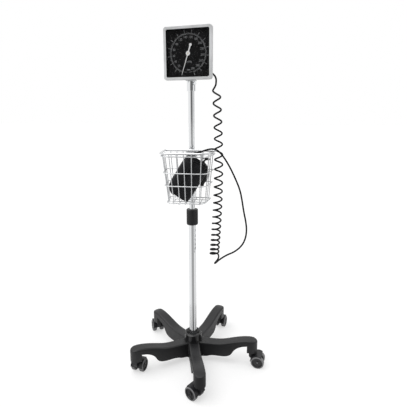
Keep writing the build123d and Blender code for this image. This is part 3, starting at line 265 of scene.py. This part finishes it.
black_plastic = moulded("black_plastic", (0.012, 0.012, 0.013), 0.42, wear=0.06, gloss=0.4)
gloss_black = moulded(
    "gloss_black", (0.009, 0.009, 0.010), 0.2, grain=300, depth=0.00002, coat=0.2, gloss=0.4
)
hood_black = moulded("hood_black", (0.014, 0.014, 0.016), 0.4, gloss=0.4)
case_grey = moulded("case_grey", (0.75, 0.76, 0.765), 0.42, grain=1300, depth=0.00003)
dial_black = moulded("dial_black", (0.006, 0.006, 0.0065), 0.75, grain=1500, depth=0.00002, gloss=0.12)
dial_ink = moulded("dial_ink", (0.24, 0.245, 0.25), 0.7, grain=1500, depth=0.00001)
pointer_white = moulded("pointer_white", (0.97, 0.97, 0.96), 0.4, grain=800, depth=0.00001)
natural_plastic = moulded("natural_plastic", (0.62, 0.62, 0.6), 0.5)
chrome = metal("chrome", (0.80, 0.81, 0.82), 0.10, (1, 1, 0.1), grain=40, depth=0.000003)
wire_chrome = metal("wire_chrome", (0.70, 0.71, 0.72), 0.24, grain=90, depth=0.000004)
steel = metal("steel", (0.52, 0.53, 0.54), 0.32)
brass = metal("brass", (0.72, 0.55, 0.27), 0.25)
tube_rubber = rubber("tube_rubber", (0.004, 0.004, 0.0045), 0.5)
bulb_rubber = rubber("bulb_rubber", (0.012, 0.012, 0.013), 0.42, depth=0.00002)
cuff_fabric = weave("cuff_fabric", (0.026, 0.026, 0.029))
cuff_binding = weave("cuff_binding", (0.012, 0.012, 0.014), thread=0.0006)
cuff_thread = rubber("cuff_thread", (0.075, 0.075, 0.08), 0.6, grain=2500)
cuff_pile = rubber("cuff_pile", (0.034, 0.034, 0.037), 0.85, grain=1400, depth=0.0006)
lens_clear = glass("lens_clear")

finishes = {
    "black_plastic": black_plastic,
    "gloss_black": gloss_black,
    "hood_black": hood_black,
    "tyre": black_plastic,
    "chrome": chrome,
    "steel": steel,
    "collet_plastic": natural_plastic,
    "wire_chrome": wire_chrome,
    "cuff_fabric": cuff_fabric,
    "bulb_rubber": bulb_rubber,
    "tube_rubber": tube_rubber,
    "case_grey": case_grey,
    "lens_clear": lens_clear,
    "dial_black": dial_black,
    "pointer_white": pointer_white,
    "brass": brass,
}


def dress(obj, material):
    obj.data.materials.clear()
    obj.data.materials.append(material)


sharp_angle = radians(32)
slots = {entry["node"]: entry["material_slot"] for entry in frame["record"]["subparts"]}
for name, obj in nodes.items():
    dress(obj, finishes[slots[name]])
    for polygon in obj.data.polygons:
        polygon.use_smooth = True
    obj.data.set_sharp_from_angle(angle=sharp_angle)

wheel_joints = {joint["child"]: joint for joint in frame["joints"] if "_spin_" in joint["name"]}
for body, joint in wheel_joints.items():
    dress(nodes[body], wheel_material(f"{body}_finish", joint["pos_m"], joint["axis"]))


# Mesh helpers
def place(name, mesh, material, body):
    obj = bpy.data.objects.new(name, mesh)
    bpy.context.scene.collection.objects.link(obj)
    dress(obj, material)
    if body:
        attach(obj, body)
    return obj


def grid_faces(row_count, width, ring=True, flip=False):
    """Faces between rows of points. A ring's rows close on themselves, with a cap at either end."""
    faces = []
    for row in range(row_count - 1):
        for k in range(width if ring else width - 1):
            a = row * width + k
            b = row * width + (k + 1) % width
            faces.append((a, a + width, b + width, b) if flip else (a, b, b + width, a + width))
    if ring:
        last = (row_count - 1) * width
        for cap in (range(width - 1, -1, -1), range(last, last + width)):
            faces.append(tuple(reversed(cap)) if flip else tuple(cap))
    return faces


def mesh_from(name, points, faces, smooth=True):
    mesh = bpy.data.meshes.new(name)
    mesh.from_pydata([tuple(p) for p in points], [], faces)
    mesh.validate()
    for polygon in mesh.polygons:
        polygon.use_smooth = smooth
    return mesh


def ring_tube(name, points, radius, sides=12):
    """Round tube along many close points, its rings kept from twisting."""
    points = [Vector(p) for p in points]
    ways = [(b - a).normalized() for a, b in zip(points, points[1:])]
    ways = [ways[0]] + [(a + b).normalized() for a, b in zip(ways, ways[1:])] + [ways[-1]]
    side = ways[0].orthogonal().normalized()
    angles = [2 * pi * k / sides for k in range(sides)]
    skin = []
    for point, way in zip(points, ways):
        side = (side - way * side.dot(way)).normalized()
        other = way.cross(side)
        skin.extend(point + (side * cos(a) + other * sin(a)) * radius for a in angles)
    return mesh_from(name, skin, grid_faces(len(points), sides))


def spline_points(name, route):
    """Points along the smooth curve that takes a route as its control points."""
    data = bpy.data.curves.new(name, "CURVE")
    data.dimensions = "3D"
    data.resolution_u = 8
    spline = data.splines.new("NURBS")
    spline.points.add(len(route) - 1)
    for point, place_at in zip(spline.points, route):
        point.co = (*place_at, 1)
    spline.order_u = 3
    spline.use_endpoint_u = True
    holder = bpy.data.objects.new(name, data)
    bpy.context.scene.collection.objects.link(holder)
    bpy.context.view_layer.update()
    line = bpy.data.meshes.new_from_object(holder)
    points = [vertex.co.copy() for vertex in line.vertices]
    bpy.data.objects.remove(holder)
    return points


# Tube: from the port behind the dial, down the coil and up over the basket's rim to the cuff
tube_r = 0.003
tube_sides = 14
right_way = Vector((cos(radians(camera_turn)), sin(radians(camera_turn)), 0))
near_way = Vector((sin(radians(camera_turn)), -cos(radians(camera_turn)), 0))
coil_x = 0.0805
coil_y = 0.022
coil_top_z = 1.0505
coil_turns = 21.0
coil_first_turn = 0.5
turn_steps = 16
# The turns crowd toward the foot: a first pitch, and how much less each next turn takes
coil_pitch = 0.0436
coil_pitch_loss = 0.00137
# The coil's middle line bows to the right and ends a little left of its top, and its turns widen
coil_lean = 0.002
coil_bow = 0.0125
coil_r = 0.0125
coil_r_gain = 0.0035


def coil_height(turns):
    return coil_top_z - coil_pitch * turns + coil_pitch_loss * turns**2 / 2


def coil_point(turns):
    z = coil_height(turns)
    share = (coil_top_z - z) / (coil_top_z - coil_height(coil_turns))
    x = coil_x - coil_lean * share + coil_bow * sin(pi * share)
    radius = coil_r + coil_r_gain * share
    turn = 2 * pi * turns
    return Vector((x, coil_y, z)) + right_way * (radius * cos(turn)) + near_way * (radius * sin(turn))


gauge_route = [
    (0.0660, 0.0220, 1.0840),
    (0.0756, 0.0220, 1.0768),
    (0.0810, 0.0200, 1.0660),
    (0.0810, 0.0200, 1.0560),
    (0.0805, 0.0185, 1.0460),
    (0.0765, 0.0145, 1.0365),
]
curl_count = int((coil_turns - coil_first_turn) * turn_steps)
curls = [coil_point(coil_first_turn + step / turn_steps) for step in range(curl_count + 1)]
rim_route = [
    (0.0955, 0.0207, 0.4361),
    (0.0984, 0.0103, 0.4345),
    (0.0966, -0.0035, 0.4290),
    (0.0890, -0.0135, 0.4210),
    (0.0930, -0.0235, 0.4235),
    (0.1050, -0.0260, 0.4370),
    (0.1210, -0.0226, 0.4500),
    (0.1390, -0.0185, 0.4615),
    (0.1594, -0.0126, 0.4703),
    (0.1817, -0.0038, 0.4882),
    (0.1959, 0.0023, 0.5132),
    (0.2012, 0.0033, 0.5459),
    (0.1980, 0.0022, 0.5803),
    (0.1890, -0.0014, 0.6217),
    (0.1826, -0.0032, 0.6622),
    (0.1752, -0.0054, 0.6968),
    (0.1612, -0.0094, 0.7320),
    (0.1407, -0.0153, 0.7760),
    (0.1219, -0.0228, 0.8084),
    (0.1065, -0.0290, 0.8290),
    (0.0910, -0.0380, 0.8385),
    (0.0755, -0.0520, 0.8380),
    (0.0610, -0.0710, 0.8330),
    (0.0500, -0.0880, 0.8295),
    (0.0397, -0.1036, 0.8274),
    (0.0334, -0.1028, 0.8161),
]
line = spline_points("pressure_line", gauge_route + curls + rim_route)
pressure_mesh = ring_tube("pressure_tube", line, tube_r, tube_sides)
pressure_tube = place("pressure_tube", pressure_mesh, tube_rubber, None)
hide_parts("gauge_tube", "coil_tube", "rim_tube")
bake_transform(pressure_tube)


# Bulb's tube: from the release valve round to the cuff
bulb_route = [
    (0.05891, -0.03837, 0.8060),
    (0.07129, -0.03663, 0.8060),
    (0.07731, -0.05073, 0.8040),
    (0.07954, -0.06658, 0.8055),
    (0.07866, -0.08185, 0.8080),
    (0.07440, -0.09571, 0.80723),
    (0.06772, -0.09512, 0.79728),
]
bulb_line = spline_points("bulb_line", bulb_route)
bulb_tube_mesh = ring_tube("bulb_hose", bulb_line, tube_r, tube_sides)
bulb_tube = place("bulb_hose", bulb_tube_mesh, tube_rubber, "mast")
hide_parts("bulb_tube")


# Dial print: scale, numbers and unit, laid on the dial plate
dial_y = -0.03108
dial_z = 1.141
zero_angle = -108.4
dial_sweep = 323.2
full_scale = 300
number_step = 20
number_r = 0.0492
number_size = 0.0104
unit_size = 0.0092
unit_place = (0.0015, -0.0250)
# Ticks: one every so many mmHg, from one radius to another, this wide
tick_rows = [(2, 0.0568, 0.0614, 0.0010), (10, 0.0570, 0.0640, 0.0009), (number_step, 0.0570, 0.0710, 0.0014)]
end_tick_width = 0.0019
# Two short arcs between the scale's ends, given by their middle angles
foot_arcs = (-99.0, -81.0)
foot_arc_half = 5.5
foot_arc_r = 0.0570
foot_arc_width = 0.0010
oval_place = (0.0012, -0.0502)
oval_half = (0.0062, 0.0016)
oval_steps = 32
print_points = []
print_faces = []


def print_patch(corners):
    first = len(print_points)
    print_points.extend((x, dial_y, dial_z + z) for x, z in corners)
    print_faces.append(tuple(range(first, first + len(corners))))


def scale_angle(value):
    return radians(zero_angle - dial_sweep * value / full_scale)


def print_tick(value, inner, outer, width):
    angle = scale_angle(value)
    way = Vector((cos(angle), sin(angle)))
    side = way.orthogonal() * width / 2
    print_patch([way * inner - side, way * outer - side, way * outer + side, way * inner + side])


def print_words(words, size, centre, squeeze=0.84):
    """Letters turned into flat faces, set a little narrower than the font."""
    data = bpy.data.curves.new(words, "FONT")
    data.body = words
    data.size = size
    data.align_x = "CENTER"
    data.align_y = "CENTER"
    holder = bpy.data.objects.new(words, data)
    bpy.context.scene.collection.objects.link(holder)
    bpy.context.view_layer.update()
    letters = bpy.data.meshes.new_from_object(holder)
    first = len(print_points)
    for vertex in letters.vertices:
        print_points.append((centre[0] + vertex.co.x * squeeze, dial_y, dial_z + centre[1] + vertex.co.y))
    for polygon in letters.polygons:
        print_faces.append(tuple(first + index for index in polygon.vertices))
    bpy.data.objects.remove(holder)


def print_arc(radius, width, start, end, steps=12):
    outer = radius + width
    for step in range(steps):
        a, b = (radians(start + (end - start) * k / steps) for k in (step, step + 1))
        print_patch(
            [
                (radius * cos(a), radius * sin(a)),
                (outer * cos(a), outer * sin(a)),
                (outer * cos(b), outer * sin(b)),
                (radius * cos(b), radius * sin(b)),
            ]
        )


for every, inner, outer, width in tick_rows:
    for value in range(0, full_scale + 1, every):
        at_end = every == number_step and value in (0, full_scale)
        print_tick(value, inner, outer, end_tick_width if at_end else width)
for value in range(number_step, full_scale + 1, number_step):
    angle = scale_angle(value)
    print_words(str(value), number_size, (number_r * cos(angle), number_r * sin(angle)))
print_words("mmHg", unit_size, unit_place)
for middle in foot_arcs:
    print_arc(foot_arc_r, foot_arc_width, middle - foot_arc_half, middle + foot_arc_half)
oval = []
for step in range(oval_steps):
    angle = 2 * pi * step / oval_steps
    oval.append((oval_place[0] + oval_half[0] * cos(angle), oval_place[1] + oval_half[1] * sin(angle)))
print_patch(oval)
dial_mesh = mesh_from("dial_print", print_points, print_faces, smooth=False)
place("dial_print", dial_mesh, dial_ink, "gauge")


# Cuff: a padded band rolled up flat, leaning in the basket
cuff_centre = Vector((0.01740, -0.09404, 0.74390))
cuff_normal = Vector((0.13760, -0.97909, -0.14981))
# The roll slumps to its right in its own plane, past where its solid leans
cuff_slump = Matrix.Rotation(radians(-4.5), 3, cuff_normal)
cuff_long = cuff_slump @ Vector((0.48331, -0.06565, 0.87298))
cuff_wide = cuff_slump @ Vector((0.86457, 0.19253, -0.46417))
cuff_half_wide = 0.0485
cuff_half_thick = 0.0285
cuff_half_long = 0.0700
# The band stays this far inside the solid's ends and its faces
cuff_end_gap = 0.0012
cuff_skin_gap = 0.0006
# Radii of the roll's corners, left and right, at its upper and lower ends
upper_corners = (0.020, 0.042)
lower_corners = (0.040, 0.014)
# Half thickness of the band over its padding and over its hem
band_swell = 0.0036
band_hem = 0.0019
hem_width = 0.0085
# The padding starts to swell a little inside the hem, and is full after this run
hem_overlap = 0.002
swell_run = 0.009
edge_round = 0.0016
crease_depth = 0.0005
crease_scale = (9, 55)
# Flat spiral: each turn has two flats and two bends, and lies one pitch inside the last
band_pitch = 0.0086
band_turns = 2.75
# Metres of band in a turn, and the share of a turn that the band reaches past its first ring
turn_length = 0.24
band_lead = 0.004
roll_phase = 0.155
flat_share = 0.19
bend_share = 0.31
band_steps = 260
band_rows = 44
ring_count = 2 * (band_rows + 1)
flat_half = cuff_half_wide - cuff_half_thick


def roll_place(turned):
    """Across and out from the cuff's middle, and the way out of the band, after a share of its turns."""
    radius = cuff_half_thick - band_swell - cuff_skin_gap - band_pitch * turned
    phase = (turned + roll_phase) % 1.0
    if phase < flat_share:
        return flat_half * (1 - 2 * phase / flat_share), radius, 0.0, 1.0
    if phase < 0.5:
        angle = pi / 2 + pi * (phase - flat_share) / bend_share
        return -flat_half + radius * cos(angle), radius * sin(angle), cos(angle), sin(angle)
    if phase < 1 - bend_share:
        return -flat_half + 2 * flat_half * (phase - 0.5) / flat_share, -radius, 0.0, -1.0
    angle = -pi / 2 + pi * (phase - 1 + bend_share) / bend_share
    return flat_half + radius * cos(angle), radius * sin(angle), cos(angle), sin(angle)


def half_length_at(across, end):
    """How far the roll reaches from its middle toward one end, less near that end's corners."""
    corners = upper_corners if end > 0 else lower_corners
    corner = corners[1 if across > 0 else 0]
    beyond = max(0.0, min(abs(across) - (cuff_half_wide - corner), corner))
    return cuff_half_long - cuff_end_gap - corner + sqrt(corner**2 - beyond**2)


def cuff_point(across, out, along):
    return cuff_centre + cuff_wide * across + cuff_normal * out + cuff_long * along


def smooth(share):
    share = max(0.0, min(1.0, share))
    return share * share * (3 - 2 * share)


def band_half_thickness(from_edge, from_end):
    """Rounded at the very edge, flat along the hem, then swelling over the padding."""
    edge = min(from_edge, from_end)
    rim = sqrt(max(0.0, 1 - (1 - min(1.0, edge / edge_round)) ** 2))
    swollen = smooth((edge - hem_width + hem_overlap) / swell_run)
    return rim * (band_hem + (band_swell - band_hem) * swollen)


def band_mesh():
    """The band as rings round its section, one after another along the roll."""
    points = []
    for step in range(band_steps + 1):
        turned = band_turns * step / band_steps
        across, out, way_across, way_out = roll_place(turned)
        from_end = (turned + band_lead) * turn_length
        for side in (1, -1):
            for row in range(band_rows + 1):
                share = -cos(pi * row / band_rows) * side
                reach = half_length_at(across, share)
                along = reach * share
                half = band_half_thickness(reach - abs(along), from_end)
                spot = Vector((turned * crease_scale[0], along * crease_scale[1], side))
                crease = value_noise.noise(spot) * crease_depth * smooth(half / band_swell)
                push = side * (half + crease)
                points.append(cuff_point(across + way_across * push, out + way_out * push, along))
    return mesh_from("cuff", points, grid_faces(band_steps + 1, ring_count, flip=True))


cuff = place("cuff", band_mesh(), cuff_fabric, None)
cuff.data.materials.append(cuff_binding)
puff_frames = 16
# Only the outside of the first turn swells, away from the band's free end and its long edges
loose_share = 0.42
held_steps = 6
held_edge = 0.86
# Past this share of the half length the cloth is binding
binding_edge = 0.93


def puff(obj, held, pressure, cap):
    """Cloth pressure swells the piece; held vertices stay, and no other moves further than the cap."""
    rest = [vertex.co.copy() for vertex in obj.data.vertices]
    group = obj.vertex_groups.new(name="held")
    group.add(held, 1.0, "REPLACE")
    cloth = obj.modifiers.new("cloth", "CLOTH")
    cloth.settings.use_pressure = True
    cloth.settings.uniform_pressure_force = pressure
    cloth.settings.effector_weights.gravity = 0
    cloth.settings.vertex_group_mass = "held"
    cloth.settings.quality = 6
    cloth.collision_settings.use_collision = False
    cloth.point_cache.frame_start = 1
    cloth.point_cache.frame_end = puff_frames
    for number in range(1, puff_frames + 1):
        bpy.context.scene.frame_set(number)
    graph = bpy.context.evaluated_depsgraph_get()
    swollen = [vertex.co.copy() for vertex in obj.evaluated_get(graph).data.vertices]
    obj.modifiers.clear()
    obj.vertex_groups.clear()
    bpy.context.scene.frame_set(1)
    for vertex, before, after in zip(obj.data.vertices, rest, swollen):
        move = after - before
        vertex.co = before + move * min(1.0, cap / max(move.length, 1e-9))


steady = []
for index in range(len(cuff.data.vertices)):
    step, row = divmod(index, ring_count)
    share = abs(cos(pi * (row % (band_rows + 1)) / band_rows))
    outer_turn = step < band_steps * loose_share and row <= band_rows
    if share > held_edge or not outer_turn or step < held_steps:
        steady.append(index)
puff(cuff, steady, pressure=3.0, cap=0.0011)

for polygon in cuff.data.polygons[:-2]:
    row = polygon.index % ring_count
    share = abs(cos(pi * ((row % (band_rows + 1)) + 0.5) / band_rows))
    polygon.material_index = 1 if share > binding_edge else 0
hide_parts("cuff_roll")
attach(cuff, "mast")

# A ray finds the cloth's face: how far off the band it starts, and how far it looks
probe_start = 0.012
probe_length = 0.02


def on_cuff(turned, along):
    """Where the rolled band's outer face is, after the padding has swollen."""
    across, out, way_across, way_out = roll_place(turned)
    outward = cuff_wide * way_across + cuff_normal * way_out
    middle = cuff_point(across, out, along)
    hit, point, normal, _ = cuff.ray_cast(middle + outward * probe_start, -outward, distance=probe_length)
    return (point, normal) if hit else (middle + outward * band_hem, outward)


# A thread's arch: how far along it, and how far off the cloth in thicknesses
thread_arch = ((0.0, -0.3), (0.3, 0.8), (0.7, 0.8), (1.0, -0.3))
thread_crown = 0.7


def stitch_rows(name, runs, length=0.0026, gap=0.0014, thick=0.00028):
    """Short raised threads laid along runs of points on the cloth."""
    points = []
    faces = []
    for run in runs:
        travelled = 0.0
        for (a, normal), (b, _) in zip(run, run[1:]):
            step = b - a
            if step.length < 1e-6:
                continue
            way = step.normalized()
            side = normal.cross(way).normalized()
            while travelled + length < step.length:
                first = len(points)
                foot = a + way * travelled
                for along, lift in thread_arch:
                    spot = foot + way * length * along + normal * thick * lift
                    crown = spot + normal * thick * thread_crown
                    points.extend([spot - side * thick, crown, spot + side * thick])
                for row in range(len(thread_arch) - 1):
                    a0 = first + row * 3
                    faces.extend([(a0, a0 + 1, a0 + 4, a0 + 3), (a0 + 1, a0 + 2, a0 + 5, a0 + 4)])
                travelled += length + gap
            travelled -= step.length
    return mesh_from(name, points, faces)


# Two seams along each long edge of the outer turn, and two across the band's free end
edge_seams = (0.0058, 0.0078)
end_seams = (0.018, 0.030)
seam_start = 0.012
seam_turns = 0.985
seam_steps = 150
end_seam_foot = -0.058
end_seam_step = 0.004
end_seam_steps = 30
stitch_turns = [seam_start + seam_turns * step / seam_steps for step in range(seam_steps + 1)]
end_seam_places = [end_seam_foot + end_seam_step * step for step in range(end_seam_steps)]
runs = []
for side in (-1, 1):
    for inset in edge_seams:
        run = []
        for turned in stitch_turns:
            reach = half_length_at(roll_place(turned)[0], side)
            run.append(on_cuff(turned, side * (reach - inset)))
        runs.append(run)
for turned in end_seams:
    runs.append([on_cuff(turned, along) for along in end_seam_places])
place("cuff_stitching", stitch_rows("cuff_stitching", runs), cuff_thread, "mast")

# Loop pile: steps and extent along the cuff and round its roll, and how far it stands off the cloth
pile_rows = 44
pile_columns = 36
pile_foot = -0.0585
pile_length = 0.0880
pile_turn = 0.045
pile_turns = 0.115
pile_height = 0.0009
pile_fuzz = 0.00025
pile_tuck = -0.0002
fuzz_scale = 900


def pile_patch():
    """Strip of loop pile sewn along the band near its free end, its edges tucked into the cloth."""
    points = []
    for row in range(pile_rows + 1):
        along = pile_foot + pile_length * row / pile_rows
        for column in range(pile_columns + 1):
            turned = pile_turn + pile_turns * column / pile_columns
            point, normal = on_cuff(turned, along)
            inside = min(row, pile_rows - row, column, pile_columns - column)
            fuzz = value_noise.noise(point * fuzz_scale) * pile_fuzz
            points.append(point + normal * ((pile_height + fuzz) if inside else pile_tuck))
    return mesh_from("cuff_pile", points, grid_faces(pile_rows + 1, pile_columns + 1, ring=False, flip=True))


place("cuff_pile", pile_patch(), cuff_pile, "mast")


# Bulb: moulded rubber with a parting line and ribbed necks
basket_turn = Matrix.Rotation(radians(8), 4, "Z")
bulb_foot = basket_turn @ Vector((0.043, -0.0462, 0.0))
bulb_sides = 64
# The parting line: a low ridge up two opposite sides
ridge_height = 0.00035
ridge_side = 8
# Radius and height from the lower neck to the upper one
bulb_profile = [
    (0.0078, 0.7170),
    (0.0086, 0.7182),
    (0.0080, 0.7196),
    (0.0088, 0.7212),
    (0.0098, 0.7226),
    (0.0146, 0.7262),
    (0.0186, 0.7314),
    (0.0212, 0.7390),
    (0.0226, 0.7480),
    (0.0229, 0.7560),
    (0.0222, 0.7650),
    (0.0206, 0.7740),
    (0.0178, 0.7815),
    (0.0140, 0.7872),
    (0.0106, 0.7908),
    (0.0090, 0.7928),
    (0.0084, 0.7940),
    (0.0088, 0.7952),
    (0.0078, 0.7970),
]
bulb_points = []
for radius, height in bulb_profile:
    for k in range(bulb_sides):
        angle = 2 * pi * k / bulb_sides
        reach = radius + (ridge_height if k % (bulb_sides // 2) == ridge_side else 0.0)
        bulb_points.append(bulb_foot + Vector((reach * cos(angle), reach * sin(angle), height)))
bulb_mesh = mesh_from("squeeze_bulb", bulb_points, grid_faces(len(bulb_profile), bulb_sides))
bulb = place("squeeze_bulb", bulb_mesh, bulb_rubber, "mast")
rounding = bulb.modifiers.new("rounding", "SUBSURF")
rounding.levels = 1
rounding.render_levels = 1
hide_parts("bulb")


# Floor, light and background
# Darker parts of the room that the metal mirrors: their way, and where they begin and are full
dark_ways = [((0.42, -0.907, 0.0), 0.66, 0.94), ((0.94, 0.34, 0.0), 0.93, 0.99)]
sky_tones = (0.16, 0.55)
# How dark the floor is painted toward each dark way, seen only in reflections: a painted reflection
painted_reflection_tones = (0.42, 0.85)
floor_half = 40
floor_light = 0.52
floor_glow = 0.55
ambient = 0.56


def room_tone(tree, way, tones):
    """Brightness that a mirror sees along a way: white, less in the darker parts of the room. On the floor this is
    painted into its colour as a painted reflection.
    """
    tone = None
    for (middle, fades_from, full_from), dark in zip(dark_ways, tones):
        toward = tree.nodes.new("ShaderNodeVectorMath")
        toward.operation = "DOT_PRODUCT"
        toward.inputs[1].default_value = middle
        link(tree, way, toward.inputs[0])
        part = tree.nodes.new("ShaderNodeMapRange")
        part.interpolation_type = "SMOOTHSTEP"
        part.inputs["From Min"].default_value = fades_from
        part.inputs["From Max"].default_value = full_from
        part.inputs["To Min"].default_value = 1.0
        part.inputs["To Max"].default_value = dark
        link(tree, toward.outputs["Value"], part.inputs["Value"])
        if tone is None:
            tone = part.outputs["Result"]
            continue
        both = tree.nodes.new("ShaderNodeMath")
        both.operation = "MULTIPLY"
        link(tree, tone, both.inputs[0])
        link(tree, part.outputs["Result"], both.inputs[1])
        tone = both.outputs["Value"]
    return tone


floor_corners = [(x * floor_half, y * floor_half, 0) for x, y in ((-1, -1), (1, -1), (1, 1), (-1, 1))]
floor_mesh = mesh_from("floor", floor_corners, [(0, 1, 2, 3)])
floor = bpy.data.objects.new("floor", floor_mesh)
bpy.context.scene.collection.objects.link(floor)
floor_paint, floor_tree, floor_shader = new_material("floor_paint")
floor_rays = floor_tree.nodes.new("ShaderNodeLightPath")
floor_place = floor_tree.nodes.new("ShaderNodeTexCoord")
floor_way = floor_tree.nodes.new("ShaderNodeVectorMath")
floor_way.operation = "NORMALIZE"
link(floor_tree, floor_place.outputs["Object"], floor_way.inputs[0])
# In reflections only, the floor's colour is painted white with darker patches toward the dark ways, a painted
# reflection; other rays see floor_light
floor_painted_reflection = floor_tree.nodes.new("ShaderNodeMix")
floor_painted_reflection.inputs["A"].default_value = floor_light
link(floor_tree, floor_rays.outputs["Is Glossy Ray"], floor_painted_reflection.inputs["Factor"])
floor_tone = room_tone(floor_tree, floor_way.outputs["Vector"], painted_reflection_tones)
link(floor_tree, floor_tone, floor_painted_reflection.inputs["B"])
floor_grey = floor_tree.nodes.new("ShaderNodeCombineColor")
for channel in ("Red", "Green", "Blue"):
    link(floor_tree, floor_painted_reflection.outputs["Result"], floor_grey.inputs[channel])
link(floor_tree, floor_grey.outputs["Color"], floor_shader.inputs["Base Color"])
floor_shader.inputs["Roughness"].default_value = 0.9
floor_shader.inputs["Specular IOR Level"].default_value = 0.1
floor_shader.inputs["Emission Color"].default_value = (1, 1, 1, 1)
glow = spread(floor_tree, floor_rays.outputs["Is Camera Ray"], low=0.0, high=floor_glow)
link(floor_tree, glow, floor_shader.inputs["Emission Strength"])
dress(floor, floor_paint)

world = bpy.data.worlds.new("world")
bpy.context.scene.world = world
world.use_nodes = True
sky = world.node_tree
background = sky.nodes["Background"]
rays = sky.nodes.new("ShaderNodeLightPath")
heading = sky.nodes.new("ShaderNodeTexCoord")
mirrored = sky.nodes.new("ShaderNodeMath")
mirrored.operation = "MAXIMUM"
link(sky, rays.outputs["Is Glossy Ray"], mirrored.inputs[0])
link(sky, rays.outputs["Is Transmission Ray"], mirrored.inputs[1])
lit = sky.nodes.new("ShaderNodeMix")
lit.inputs["A"].default_value = ambient
link(sky, mirrored.outputs["Value"], lit.inputs["Factor"])
link(sky, room_tone(sky, heading.outputs["Generated"], sky_tones), lit.inputs["B"])
shown = sky.nodes.new("ShaderNodeMix")
shown.inputs["B"].default_value = 1.0
link(sky, rays.outputs["Is Camera Ray"], shown.inputs["Factor"])
link(sky, lit.outputs["Result"], shown.inputs["A"])
background.inputs["Color"].default_value = (1, 1, 1, 1)
link(sky, shown.outputs["Result"], background.inputs["Strength"])

overhead_data = bpy.data.lights.new("overhead", "SUN")
overhead_data.energy = 1.5
overhead_data.angle = radians(60)
overhead = bpy.data.objects.new("overhead", overhead_data)
overhead.rotation_euler = (radians(14), radians(-16), 0)
bpy.context.scene.collection.objects.link(overhead)
